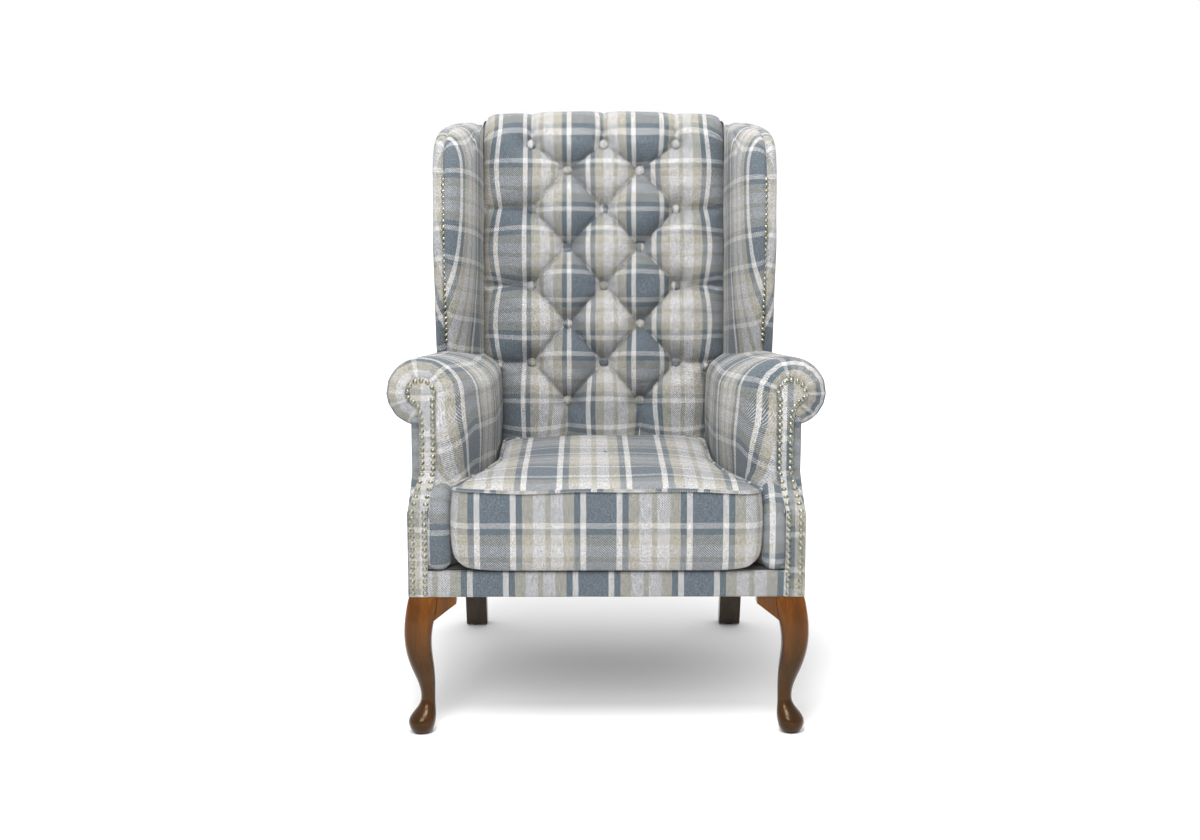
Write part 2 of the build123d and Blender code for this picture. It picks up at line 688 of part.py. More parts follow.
def top_lobe(x_low, x_high):
    """One fold of the roll over the top rail, lower at its ends where the cover is pleated."""
    across = Plane(origin=back_plane.origin, x_dir=-back_plane.z_dir, z_dir=(1, 0, 0))
    with BuildPart() as lobe:
        for x, drop in ((x_low, 9.0), ((x_low + x_high) / 2, 0.0), (x_high, 9.0)):
            with BuildSketch(across.offset(x)):
                with BuildLine():
                    Line((-10.0 - pad_start, TOP_BUTTON - 20.0), (drop - BACK_FOAM - 22.0, TOP_BUTTON - 6.0))
                    ThreePointArc((drop - BACK_FOAM - 22.0, TOP_BUTTON - 6.0),
                                  (-BACK_FOAM + 14.0, top_edge - 14.0 - drop), (-24.0, top_edge - drop))
                    ThreePointArc((-24.0, top_edge - drop), (8.0, top_edge - 8.0 - drop),
                                  (BACK_POST_T - 8.0, BACK_TOP + 1.0))
                    Polyline((BACK_POST_T - 8.0, BACK_TOP + 1.0), (-pad_start, BACK_TOP + 1.0),
                             (-10.0 - pad_start, TOP_BUTTON - 20.0))
                make_face()
        loft(ruled=True)
    return lobe.part


with BuildPart() as button_pockets:
    with BuildSketch(back_plane.offset(BACK_FOAM)):
        with Locations(*button_places()):
            Circle(BUTTON_R + FIT)
    extrude(amount=TUFT_RISE)
with BuildPart() as back_pad:
    with BuildSketch(back_plane.offset(pad_start)):
        with BuildLine():
            Polyline((-BACK_HALF_LOW, stuffing_bottom), (BACK_HALF_LOW, stuffing_bottom),
                     (BACK_HALF_LOW, ARM_LINE), (BACK_HALF_HIGH, ARM_LINE), (BACK_HALF_HIGH, slab_top),
                     (-BACK_HALF_HIGH, slab_top), (-BACK_HALF_HIGH, ARM_LINE),
                     (-BACK_HALF_LOW, ARM_LINE), close=True)
        make_face()
    extrude(amount=BACK_FOAM - pad_start)
    for cell in tuft_cells():
        add(tuft(cell))
    folds = (-BACK_HALF_HIGH, -TUFT_PITCH, 0.0, TUFT_PITCH, BACK_HALF_HIGH)
    for low, high in zip(folds, folds[1:]):
        add(top_lobe(low, high))
    add(button_pockets.part, mode=Mode.SUBTRACT)
save(back_pad.part, "inside_back_pad")

with BuildPart() as buttons:
    with BuildSketch(back_plane.offset(BACK_FOAM)):
        with Locations(*button_places()):
            Circle(BUTTON_R)
    extrude(amount=BUTTON_H)
    fillet(buttons.edges().group_by(Axis(back_plane.origin, back_plane.z_dir))[-1], BUTTON_H - 1.0)
save(buttons.part, "back_buttons")

# ---------------------------------------------------------------- decorative nails


def nail_points(corners):
    """Places for the nails along straight runs, at the nail pitch."""
    with BuildLine() as run:
        Polyline(*corners)
    wire = run.wire()
    count = int(wire.length / NAIL_PITCH)
    return [wire.position_at(number / count) for number in range(count + 1)]


def nail_head():
    """A low domed head, its axis along -Y."""
    with BuildPart() as head:
        with BuildSketch(Plane.YZ):
            with BuildLine():
                Polyline((0, NAIL_R), (0, 0), (-NAIL_H, 0))
                ThreePointArc((-NAIL_H, 0), (-NAIL_H * 0.72, NAIL_R * 0.62), (0, NAIL_R))
            make_face()
        revolve(axis=Axis.Y)
    return head.part


nail = nail_head()

# ---------------------------------------------------------------- wings

def wing_section(z, setback):
    """Plan of the padded wing at height z: a fat front roll that thins towards the back."""
    front = wing_front_y(z) + setback
    rear = lean_y(z, pad_start)
    board_x = outer_x(front) - COVER_T - BOARD_T - FIT
    face_y = front + wing_board_in - FIT
    inner_front = board_x - 8.0
    seam_x = WING_NAIL_X - NAIL_R - FIT
    with BuildSketch(Plane.XY.offset(z)) as section:
        with BuildLine():
            Polyline((seam_x, front + 9.0), (seam_x, face_y), (board_x, face_y),
                     (outer_x(rear) - COVER_T - BOARD_T - FIT, rear), (BACK_HALF_HIGH + FIT, rear),
                     (BACK_HALF_HIGH + FIT, lean_y(z, BACK_FOAM + 24.0)), (inner_front, front + WING_ROLL))
            ThreePointArc((inner_front, front + WING_ROLL), (inner_front + 6.0, front + 7.0),
                          (board_x + 2.0, front))
            ThreePointArc((board_x + 2.0, front), (board_x + 6.0, front + 3.0), (seam_x, front + 9.0))
        make_face()
    return section.sketch


wing_pad_low = wing_bottom + 6.0
with BuildPart() as wing_pad:
    add(wing_section(wing_pad_low, 0.0))
    for z, _ in WING_LEVELS[:-1]:
        add(wing_section(z, 0.0))
    add(wing_section(WING_LEVELS[-1][0] - FIT, 0.0))
    loft(ruled=True)
with BuildPart() as wing_cap:
    low_z = WING_LEVELS[-1][0] - FIT
    for z, setback in ((low_z, 0.0), ((low_z + WING_TOP) / 2 + 4.0, 16.0), (WING_TOP, 54.0)):
        add(wing_section(z, setback + wing_front_y(low_z) - wing_front_y(z)))
    loft(ruled=True)
with BuildPart() as wing_padding:
    add(wing_pad.part)
    add(wing_cap.part)
    add(wing_top_rail, mode=Mode.SUBTRACT)

wing_line = [(y + 6.0, z) for z, y in WING_LEVELS]
wing_rear_low = (lean_y(wing_bottom, -BACK_POST_T) / cos(SIDE_ANGLE), wing_bottom)
wing_rear_high = (lean_y(WING_TOP, -BACK_POST_T) / cos(SIDE_ANGLE), WING_TOP - 2.0)
wing_outer = slab(side_plane.offset(-COVER_T + FIT),
                  [(wing_line[0][0], wing_bottom)] + wing_line
                  + [(wing_line[-1][0] + 46.0, WING_TOP - 4.0), wing_rear_high, wing_rear_low], COVER_T - FIT)


def wing_edge_section(z):
    """Plan of the outside cover where it wraps round the wing's front edge."""
    front = wing_front_y(z)
    with BuildSketch(Plane.XY.offset(z)) as section:
        with BuildLine():
            Polyline((WING_NAIL_X - NAIL_R, front + 6.0), (outer_x(front) - COVER_T + 1.0, front + 6.0),
                     (outer_x(front) - COVER_T + 1.0, front + wing_board_in - FIT),
                     (WING_NAIL_X - NAIL_R, front + wing_board_in - FIT), close=True)
        make_face()
    return section.sketch


with BuildPart() as wing_edge:
    for z, _ in WING_LEVELS:
        add(wing_edge_section(z))
    loft(ruled=True)
with BuildPart() as wing_nails:
    nail_rows = int((WING_LEVELS[-1][0] - WING_LEVELS[0][0] - 16.0) / NAIL_PITCH)
    for number in range(nail_rows):
        z = WING_LEVELS[0][0] + 16.0 + number * NAIL_PITCH
        add(nail.moved(Location((WING_NAIL_X, wing_front_y(z) + 6.3, z))))
save_pair(wing_nails.part, "wing_nails")
with BuildPart() as wing_cover:
    add(wing_outer)
    add(wing_edge.part)
    add(wing_nails.part, mode=Mode.SUBTRACT)
    add(wing_post, mode=Mode.SUBTRACT)
    add(back_post, mode=Mode.SUBTRACT)
save_pair(wing_cover.part, "wing_outer_cover")
wing_stuffing = cut_away(wing_padding.part, wing_cover.part, wing_post, wing_nails.part)
save_pair(wing_stuffing, "wing_pad")

# ---------------------------------------------------------------- arms


NOSE_L = 34.0  # behind the scroll, where the cover is gathered


def arm_section(y, pull=0.0):
    """Front view of the padded arm: the roll, the inside face and the hollow for the frame.

    pull draws the outline in towards the scroll, as the cover is gathered there.
    """
    share = max((y - SCROLL_Y - NOSE_L) / (ARM_REAR_Y - SCROLL_Y - NOSE_L), 0.0)
    radius = ROLL_R * (1 - (1 - ROLL_TAPER) * share) - pull
    x = ROLL_X - (ROLL_X - post_outer) * share
    z = ROLL_Z - ROLL_DROP * share
    inside = arm_inner_x(y) + pull * 0.5
    hollow = outer_x(y) - COVER_T - FIT
    slant = radius * cos(radians(45))
    with BuildSketch(Plane.XZ.offset(-y)) as section:
        with BuildLine():
            ThreePointArc((hollow - 2.0, z - radius), (x + slant, z - slant), (x + radius, z))
            ThreePointArc((x + radius, z), (x + slant, z + slant), (x, z + radius))
            ThreePointArc((x, z + radius), (inside + 16.0, z + radius * 0.70), (inside, z - 8.0))
            Polyline((inside, z - 8.0), (inside + 4.0, CUSHION_BOTTOM), (hollow - RAIL_T, CUSHION_BOTTOM),
                     (hollow - RAIL_T, z - radius - 6.0), (hollow - 2.0, z - radius))
        make_face()
    return section.sketch


with BuildPart() as arm_body:
    for y in [SCROLL_Y + NOSE_L] + [y for y, _ in ARM_INSIDE[2:]]:
        add(arm_section(y))
    loft(ruled=True)
with BuildPart() as arm_nose:
    for setback, pull in ((6.0, 24.0), (14.0, 9.0), (NOSE_L, 0.0)):
        add(arm_section(SCROLL_Y + setback, pull))
    loft(ruled=True)
with BuildPart() as arm_pad:
    add(arm_body.part)
    add(arm_nose.part)

panel_front = SCROLL_Y + COVER_T
panel_top = ROLL_Z - ROLL_R - 3.0
panel_rear_top = ROLL_Z - ROLL_DROP - ROLL_R * ROLL_TAPER - 3.0
arm_outer = slab(
    side_plane.offset(-COVER_T + FIT),
    [(frame_front, LEG_TOP), (frame_front, KINK_Z), (panel_front, NECK_Z), (panel_front, panel_top),
     (lean_y(panel_rear_top, -BACK_POST_T), panel_rear_top), (lean_y(LEG_TOP + SIDE_RAIL_H, -BACK_POST_T),
                                                             LEG_TOP + SIDE_RAIL_H),
     (REAR_Y - PANEL_T, LEG_TOP)], COVER_T - FIT)
save_pair(arm_outer, "arm_outer_cover")

tail_z = ROLL_Z - ROLL_DROP
tail_r = ROLL_R * ROLL_TAPER
tail_end_y = lean_y(tail_z - tail_r, -BACK_POST_T) - FIT
with BuildPart() as arm_tail:
    with BuildSketch(Plane.XZ.offset(-ARM_REAR_Y)):
        with Locations((post_outer, tail_z)):
            Circle(tail_r)
    extrude(amount=ARM_REAR_Y - tail_end_y)
with BuildPart() as arm_shape:
    add(arm_pad.part)
    add(arm_tail.part)
arm_timber = (arm_top_rail, arm_post, arm_tack_rail, side_rail, wing_post, back_post, dowels_right.part)
back_room_x = BACK_HALF_HIGH + FIT
back_room_low = ARM_LINE - FIT
upper_back_room = slab(
    back_plane,
    [(0.0, back_room_low), (back_room_x, back_room_low), (back_room_x, BACK_TOP), (0.0, BACK_TOP)],
    BACK_FOAM + TUFT_RISE)
arm_neighbours = (arm_outer, wing_cover.part, wing_stuffing, arm_facing, upper_back_room, webbing.part)
arm_padding = cut_away(arm_shape.part, *arm_timber, *arm_neighbours)
save_pair(arm_padding, "arm_pad")
with BuildPart() as bolster:
    with BuildSketch(Plane.YZ.offset(arm_inner_x(FRONT_Y) + 0.5)):
        with BuildLine():
            Polyline((SCROLL_Y, BORDER_TOP + FIT), (FRONT_Y + 14.0, BORDER_TOP + FIT))
            ThreePointArc((FRONT_Y + 14.0, BORDER_TOP + FIT), (FRONT_Y + 2.0, BORDER_TOP + 40.0),
                          (FRONT_Y + 4.0, KINK_Z - 16.0))
            ThreePointArc((FRONT_Y + 4.0, KINK_Z - 16.0), (FRONT_Y + 18.0, KINK_Z + 24.0), (SCROLL_Y, NECK_Z))
            Line((SCROLL_Y, NECK_Z), (SCROLL_Y, BORDER_TOP + FIT))
        make_face()
    extrude(amount=FOOT_IN - arm_inner_x(FRONT_Y) - 0.5 - FIT)
arm_bolster = cut_away(bolster.part, arm_padding, *arm_timber, arm_facing)

border = plan_block(
    [(-FOOT_IN + FIT, FRONT_Y), (FOOT_IN - FIT, FRONT_Y), (FOOT_IN - FIT, frame_front - FIT),
     (-FOOT_IN + FIT, frame_front - FIT)], LEG_TOP, BORDER_TOP)
save(border, "front_border")

outside_back = slab(
    back_plane.offset(-BACK_POST_T - PANEL_T),
    [(-HALF_REAR, 8.0), (HALF_REAR, 8.0), (post_outer + COVER_T, BACK_TOP - 8.0),
     (-post_outer - COVER_T, BACK_TOP - 8.0)], PANEL_T - FIT)
save(outside_back, "outside_back_cover")

cloth_margin = 4.0
cloth_front_y = frame_front + cloth_margin
cloth_notch_x = LEG_CORNER_X - LEG_W - EAR_L - cloth_margin
cloth_notch_y = LEG_CORNER_Y + LEG_W + EAR_L + cloth_margin
cloth_side_x = outer_x(cloth_notch_y) - COVER_T - cloth_margin
cloth_rear_x = outer_x(POST_FRONT_Y) - COVER_T - cloth_margin
cloth_half = [
    (cloth_notch_x, cloth_front_y), (cloth_notch_x, cloth_notch_y), (cloth_side_x, cloth_notch_y),
    (cloth_rear_x, POST_FRONT_Y - cloth_margin), (post_inner - cloth_margin, POST_FRONT_Y - cloth_margin),
    (post_inner - cloth_margin, post_rear_y - cloth_margin)]
dust_cover = plan_block(cloth_half + [(-x, y) for x, y in reversed(cloth_half)], LEG_TOP - 1.2, LEG_TOP - 0.2)
save(dust_cover, "dust_cover")

# ---------------------------------------------------------------- nails on the arm fronts
nail_edge = NAIL_R + FIT  # from the edge of the arm front to the middle of a nail
ring_r = SCROLL_R - nail_edge
neck_in = NECK_IN + nail_edge
neck_out = NECK_OUT - nail_edge
ring_turn = 180.0 - TAIL_ANGLE
ring_count = int(radians(ring_turn) * ring_r / NAIL_PITCH)
ring_run = [(SCROLL_X + ring_r * cos(radians(TAIL_ANGLE + ring_turn * number / ring_count)),
             SCROLL_Z + ring_r * sin(radians(TAIL_ANGLE + ring_turn * number / ring_count)))
            for number in range(ring_count + 1)]
tail_run = [(SCROLL_X + nail_x, SCROLL_Z + z) for _, z, nail_x in reversed(SCROLL_TAIL)]
arm_run = nail_points(
    [(FOOT_OUT - nail_edge, LEG_TOP + 6.0), (FOOT_OUT - nail_edge, KINK_Z), (neck_out, NECK_Z + 6.0),
     (neck_out, SCROLL_Z - TAIL_END)] + tail_run + ring_run[:1])
arm_run += nail_points(
    [(neck_in, SCROLL_Z - NECK_EASE), (neck_in, NECK_Z + 6.0), (FOOT_IN + nail_edge, KINK_Z),
     (FOOT_IN + nail_edge, LEG_TOP + 6.0)])
arm_run += [Vector(x, z) for x, z in ring_run[1:]]
with BuildPart() as arm_nails:
    for place in arm_run:
        add(nail.moved(Location((place.X, arm_front_y(place.Y) + 0.3, place.Y))))
save_pair(arm_nails.part, "arm_nails")
save_pair(cut_away(arm_facing, arm_nails.part), "arm_facing")
save_pair(cut_away(arm_bolster, arm_nails.part), "arm_front_bolster")

# ---------------------------------------------------------------- loose seat cushion


cushion_depth = CUSHION_REAR_Y - CUSHION_FRONT_Y
cushion_side_y = [CUSHION_FRONT_Y] + [y for y, _ in ARM_INSIDE[1:-1]] + [CUSHION_REAR_Y]


def cushion_points(inset):
    """Outline of the cushion seen from above, between the arms, drawn in by inset."""
    shorter = 1.0 - 2 * inset / cushion_depth
    right = [(arm_inner_x(y) - CUSHION_GAP - inset, CUSHION_FRONT_Y + inset + shorter * (y - CUSHION_FRONT_Y))
             for y in cushion_side_y]
    return [(-x, y) for x, y in right[:1]] + right + [(-x, y) for x, y in reversed(right[1:])]


def cushion_layer(z, inset):
    """One level of the cushion."""
    with BuildSketch(Plane.XY.offset(z)) as layer:
        with BuildLine():
            Polyline(*cushion_points(inset), close=True)
        make_face()
        fillet(layer.vertices(), CUSHION_CORNER - inset * 0.15)
    return layer.sketch


cushion_h = CUSHION_WELT - CUSHION_BOTTOM
with BuildPart() as cushion_border:
    for share, inset in ((0.0, 16.0), (0.05, 8.0), (0.16, 1.5), (0.45, 0.0), (0.80, 0.5), (1.0, 5.0)):
        add(cushion_layer(CUSHION_BOTTOM + share * cushion_h, inset))
    loft(ruled=True)
with BuildPart() as cushion_crown:
    for share, inset in ((0.0, 5.0), (0.42, 30.0), (0.72, 70.0), (0.92, 120.0), (1.0, 165.0)):
        add(cushion_layer(CUSHION_WELT + share * CUSHION_CROWN, inset))
    loft(ruled=True)
with BuildPart() as piping:
    with BuildLine(Plane.XY.offset(CUSHION_WELT)):
        FilletPolyline(*cushion_points(4.0), radius=CUSHION_CORNER, close=True)
    middle_front = (0, CUSHION_FRONT_Y + 4.0, CUSHION_WELT)
    with BuildSketch(Plane(origin=middle_front, z_dir=(1, 0, 0))):
        Circle(PIPING_R)
    sweep()
tape_h = 16.0
tape_t = 1.0
teeth_h = 5.0
teeth_t = 2.4
zip_z = CUSHION_BOTTOM + cushion_h * 0.45
with BuildPart() as cushion:
    add(cushion_border.part)
    add(cushion_crown.part)
    add(piping.part, mode=Mode.SUBTRACT)
save(cushion.part, "seat_cushion")
save(piping.part, "cushion_piping")

with BuildPart() as zip_tape:
    with Locations((0, CUSHION_REAR_Y + FIT, zip_z)):
        Box(ZIP_L + 20.0, tape_t, tape_h, align=(Align.CENTER, Align.MIN, Align.CENTER))
    with Locations((0, CUSHION_REAR_Y + FIT + tape_t, zip_z)):
        Box(ZIP_L, teeth_t, teeth_h, align=(Align.CENTER, Align.MIN, Align.CENTER))
save(zip_tape.part, "cushion_zip")

slider_l = 12.0
slider_wall = 1.0
zip_face = CUSHION_REAR_Y + FIT + tape_t
with BuildPart() as slider:
    with Locations((-ZIP_L / 2 + slider_l / 2, zip_face + FIT, zip_z)):
        Box(slider_l, teeth_t + slider_wall, teeth_h + 2 * (slider_wall + FIT),
            align=(Align.CENTER, Align.MIN, Align.CENTER))
        Box(slider_l, teeth_t, teeth_h + 2 * FIT, align=(Align.CENTER, Align.MIN, Align.CENTER),
            mode=Mode.SUBTRACT)
    with Locations((-ZIP_L / 2 + slider_l / 2, zip_face + FIT + teeth_t + slider_wall, zip_z - 8.0)):
        Box(6.0, 0.9, 26.0, align=(Align.CENTER, Align.MIN, Align.CENTER))
save(slider.part, "zip_slider")
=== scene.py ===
import math

import bpy
import numpy as np
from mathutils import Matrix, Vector


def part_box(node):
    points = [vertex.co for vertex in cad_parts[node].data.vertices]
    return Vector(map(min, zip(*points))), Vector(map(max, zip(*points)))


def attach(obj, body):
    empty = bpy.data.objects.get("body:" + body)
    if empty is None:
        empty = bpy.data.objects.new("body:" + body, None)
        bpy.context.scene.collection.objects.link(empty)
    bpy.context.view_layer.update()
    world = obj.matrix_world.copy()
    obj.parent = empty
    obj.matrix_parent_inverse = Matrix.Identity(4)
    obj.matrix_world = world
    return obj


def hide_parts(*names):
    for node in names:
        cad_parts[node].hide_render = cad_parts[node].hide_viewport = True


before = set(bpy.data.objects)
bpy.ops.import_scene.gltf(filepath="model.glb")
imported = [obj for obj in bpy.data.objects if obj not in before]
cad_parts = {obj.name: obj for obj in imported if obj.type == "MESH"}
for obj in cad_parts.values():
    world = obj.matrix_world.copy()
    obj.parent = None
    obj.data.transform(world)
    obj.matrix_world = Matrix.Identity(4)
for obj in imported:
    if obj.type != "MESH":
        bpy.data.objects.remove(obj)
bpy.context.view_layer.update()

# ---------------- sizes shared with the CAD source
RAKE = math.radians(8.53)  # lean of the back
LEG_TOP = 0.258
POST_FRONT_Y, POST_T = 0.2417, 0.034  # front of the back posts at LEG_TOP, and their thickness
FRONT_Y, REAR_Y = -0.385, 0.280  # front and back of the seat frame
HALF_FRONT, SIDE_SLOPE = 0.355, 0.04 / 0.665
BACK_FOAM, TUFT_RISE = 0.066, 0.042  # n of the buttons, and how far the tufts stand above them
SEAT_END, FIRST_ROW, ROW, TOP_BUTTON = 0.150, 0.255, 0.0795, 0.786  # rows of buttons, in t
PITCH = 0.150
ARM_LINE, HALF_LOW, HALF_HIGH = 0.334, 0.2118, 0.2475  # half width of the back below and above a t
SCROLL_X, SCROLL_Y, SCROLL_Z, SCROLL_R = 0.3325, -0.325, 0.6165, 0.0284
# The scroll's lower end, from low to high, from its centre
SCROLL_TAIL = [(0.0035, -0.048), (0.0065, -0.031), (0.0105, -0.024), (0.0165, -0.0175),
               (0.0267, -0.0097)]
FOOT_IN, FOOT_OUT, KINK_Z = 0.3195, 0.3545, 0.412  # the arm's front panel up to where it leans back
NECK_IN, NECK_OUT, NECK_Z = 0.307, 0.336, 0.470  # and where that ends
ROLL_X, ROLL_Z, ROLL_R = 0.336, 0.614, 0.063
ARM_REAR_Y, TAIL_END_Y = 0.236, 0.316
ARM_INSIDE = [(-0.385, 0.2817), (-0.325, 0.274), (-0.223, 0.2365), (-0.100, 0.2123), (0.236, 0.2123)]
BORDER_TOP = 0.303
CUSHION_BOTTOM, CUSHION_WELT, CUSHION_CROWN = 0.3065, 0.453, 0.021
CUSHION_FRONT_Y, CUSHION_REAR_Y, CUSHION_GAP = -0.401, 0.150, 0.005
PIPING_R = 0.0032
SIDES = ((-1, "left"), (1, "right"))


def outer_x(y):
    """Half width of the upholstered outside at depth y."""
    return HALF_FRONT - SIDE_SLOPE * (y - FRONT_Y)


def arm_inner_x(y):
    """Inside face of the arm at depth y."""
    return np.interp(y, *zip(*ARM_INSIDE))


def arm_front_y(z):
    """Face of the arm front at height z."""
    return np.interp(z, (KINK_Z, NECK_Z), (FRONT_Y, SCROLL_Y))


def on_back(x, t, n):
    """A point from its place on the leaning back: across, up along the lean, and forward."""
    y = POST_FRONT_Y + t * math.sin(RAKE) - n * math.cos(RAKE)
    z = LEG_TOP + t * math.cos(RAKE) + n * math.sin(RAKE)
    return layered(x, y, z)


def lean_y(z, forward=0.0):
    """Depth of a layer of the back at height z."""
    along = (z - LEG_TOP - forward * math.sin(RAKE)) / math.cos(RAKE)
    return POST_FRONT_Y + along * math.sin(RAKE) - forward * math.cos(RAKE)


# ---------------- number helpers
def layered(*parts):
    """Arrays and numbers that broadcast to one grid, as the coordinates of its points."""
    return np.stack(np.broadcast_arrays(*parts), -1)


def part(value, start, end):
    """How far a value has come from start to end, kept within 0 to 1."""
    return np.clip((value - start) / (end - start), 0, 1)


def rounded(share):
    """A quarter of a circle: from 0, steep at first, to 1."""
    return np.sqrt(1 - (1 - np.clip(share, 0, 1)) ** 2)


def between(a, b, share):
    """From a at share 0 to b at share 1."""
    return a * (1 - share) + b * share


def unit(vectors):
    """The vectors at length 1."""
    return vectors / np.linalg.norm(vectors, axis=-1, keepdims=True)


def quarter_turn(vectors):
    """Plane vectors turned clockwise by 90 degrees."""
    return np.stack([vectors[:, 1], -vectors[:, 0]], 1)


def round_angles(count):
    """Angles evenly round a circle."""
    return np.linspace(0, 2 * math.pi, count + 1)[:-1]


def lengths(points):
    """Distance along a line of points, at each of them."""
    return np.concatenate([[0], np.cumsum(np.linalg.norm(np.diff(points, axis=0), axis=1))])


def curve(points, count):
    """A smooth line through the points, as count points evenly along it."""
    p = np.asarray(points, float)
    padded = np.vstack([2 * p[0] - p[1], p, 2 * p[-1] - p[-2]])
    t = np.linspace(0, 1, 24, endpoint=False)[:, None]
    runs = []
    for a, b, c, d in zip(padded, padded[1:], padded[2:], padded[3:]):
        runs.append(0.5 * (2 * b + (c - a) * t + (2 * a - 5 * b + 4 * c - d) * t**2
                           + (3 * b - a - 3 * c + d) * t**3))
    dense = np.vstack(runs + [p[-1:]])
    along = lengths(dense)
    at = np.linspace(0, along[-1], count)
    return np.column_stack([np.interp(at, along, column) for column in dense.T])


def wobble(points, size, seed):
    """Slow, smooth, repeatable unevenness, about plus or minus 1, with bumps of about that size."""
    rng = np.random.default_rng(seed)
    total = np.zeros(points.shape[:-1])
    for _ in range(6):
        direction = rng.normal(size=3)
        direction *= 2 * math.pi / (size * rng.uniform(0.8, 1.6) * np.linalg.norm(direction))
        total += np.sin(points @ direction + rng.uniform(0, 2 * math.pi))
    return total / 3


# ---------------- mesh helpers
def add_object(name, data):
    """An object with that data, in the scene."""
    made = bpy.data.objects.new(name, data)
    bpy.context.scene.collection.objects.link(made)
    return made


def add_mesh(name, points, faces, uv, material):
    """A smooth mesh from points, faces and one uv for each corner of each face."""
    mesh = bpy.data.meshes.new(name)
    mesh.from_pydata(np.asarray(points, float).reshape(-1, 3).tolist(), [], np.asarray(faces).tolist())
    layer = mesh.uv_layers.new(name="cloth")
    layer.data.foreach_set("uv", np.asarray(uv, np.float32).ravel())
    mesh.shade_smooth()
    mesh.materials.append(material)
    mesh.update()
    return add_object(name, mesh)


def grid_faces(rows, columns, closed=False):
    """Quads of a grid, and for each corner its row and column, counting on past the last if closed."""
    i, j = np.indices((rows - 1, columns if closed else columns - 1)).reshape(2, -1)
    row = np.stack([i, i, i + 1, i + 1], 1)
    column = np.stack([j, j + 1, j + 1, j], 1)
    return row * columns + column % columns, row, column


def first_again(grid):
    """The grid with its first column repeated after its last."""
    return np.concatenate([grid, grid[:, :1]], 1)


def add_grids(name, grids, material, closed=False, flip=False):
    """One mesh from grids of points, each with the cloth's place at its points; closed joins each
    grid's last column to its first, and the cloth's places then have one column more."""
    points, faces, corners, count = [], [], [], 0
    order = slice(None, None, -1 if flip else 1)
    for grid, uv in grids:
        quads, row, column = grid_faces(*grid.shape[:2], closed)
        points.append(grid.reshape(-1, 3))
        faces.append(quads[:, order] + count)
        corners.append(uv[row, column][:, order])
        count += len(points[-1])
    return add_mesh(name, *(np.concatenate(parts) for parts in (points, faces, corners)), material)


def add_sided(name, side, points, u, v, flip=False):
    """A piece in the check for one side of the chair, from points worked out for the right side."""
    hand = dict(SIDES)[side]
    points = points * np.array([side, 1, 1])
    return add_grids(f"{name}_{hand}", [(points, layered(u, v))], check, flip=flip != (side < 0))


# ---------------- materials
def put(tree, socket, value):
    """Sets an input to a value, or links it to an output."""
    if isinstance(value, bpy.types.NodeSocket):
        tree.links.new(value, socket)
    else:
        socket.default_value = value


def node(tree, kind, inputs=(), **settings):
    """A shader node with its settings and its inputs."""
    made = tree.nodes.new("ShaderNode" + kind)
    for key, value in settings.items():
        setattr(made, key, value)
    for key, value in dict(inputs).items():
        put(tree, made.inputs[key], value)
    return made


def calc(tree, operation, *values):
    """The output of a Math node."""
    return node(tree, "Math", enumerate(values), operation=operation).outputs[0]


def mix_colour(tree, factor, a, b, blend="MIX"):
    """The output of a colour Mix node."""
    mixed = node(tree, "Mix", data_type="RGBA", blend_type=blend)
    for identifier, value in (("Factor_Float", factor), ("A_Color", a), ("B_Color", b)):
        put(tree, next(s for s in mixed.inputs if s.identifier == identifier), value)
    return next(s for s in mixed.outputs if s.identifier == "Result_Color")


def lit(tree, colour, light):
    """The colour multiplied by a lightness."""
    grey = node(tree, "CombineColor", {0: light, 1: light, 2: light}).outputs[0]
    return mix_colour(tree, 1.0, colour, grey, "MULTIPLY")


def ramp(tree, factor, stops, interpolation="LINEAR"):
    """The colour of a Color Ramp with stops of (place, colour)."""
    made = node(tree, "ValToRGB", {"Fac": factor})
    made.color_ramp.interpolation = interpolation
    elements = made.color_ramp.elements
    while len(elements) > 1:
        elements.remove(elements[0])
    elements[0].position, elements[0].color = stops[0]
    for place, colour in stops[1:]:
        elements.new(place).color = colour
    return made.outputs["Color"]


def noise(tree, place, scale, detail=3.0, roughness=0.55):
    """The value of a Noise texture, about 0.5 in the middle; scale is per metre, along x, y and z."""
    vector = node(tree, "VectorMath", {0: place, 1: scale}, operation="MULTIPLY").outputs[0]
    return node(tree, "TexNoise", {"Vector": vector, "Scale": 1.0, "Detail": detail,
                                             "Roughness": roughness}).outputs["Fac"]


def new_material(name, uv_map=None):
    """A new node material, its tree, and the place on the object or on its UV map."""
    material = bpy.data.materials.new(name)
    material.use_nodes = True
    tree = material.node_tree
    if uv_map:
        return material, tree, node(tree, "UVMap", uv_map=uv_map).outputs["UV"]
    return material, tree, node(tree, "TexCoord").outputs["Object"]


def dress(material, inputs, bump=None):
    """The material, with its shader's inputs set, and a bump of (strength, depth, height)."""
    tree = material.node_tree
    if bump:
        relief = node(tree, "Bump", zip(("Strength", "Distance", "Height"), bump))
        inputs = {**inputs, "Normal": relief.outputs[0]}
    for key, value in inputs.items():
        put(tree, tree.nodes["Principled BSDF"].inputs[key], value)
    return material


def srgb(red, green, blue, gain=1.0):
    """A screen colour of 0 to 255 as the linear colour that the shaders take."""
    linear = [((c / 255 + 0.055) / 1.055) ** 2.4 if c > 10 else c / 3294 for c in (red, green, blue)]
    return (*(gain * c for c in linear), 1.0)


def darker(colour, gain):
    """A linear colour with its light multiplied."""
    return (*(gain * c for c in colour[:3]), 1.0)


REPEAT = 0.1885  # one repeat of the check
YARN_PITCH = 0.0015
CLOTH_GAIN = 0.535  # the yarns' colours are darker than the lit cloth
YARNS = {"slate": (104, 114, 123), "dark": (99, 111, 119), "white": (220, 218, 216),
         "cream": (206, 205, 205), "khaki": (178, 174, 161)}
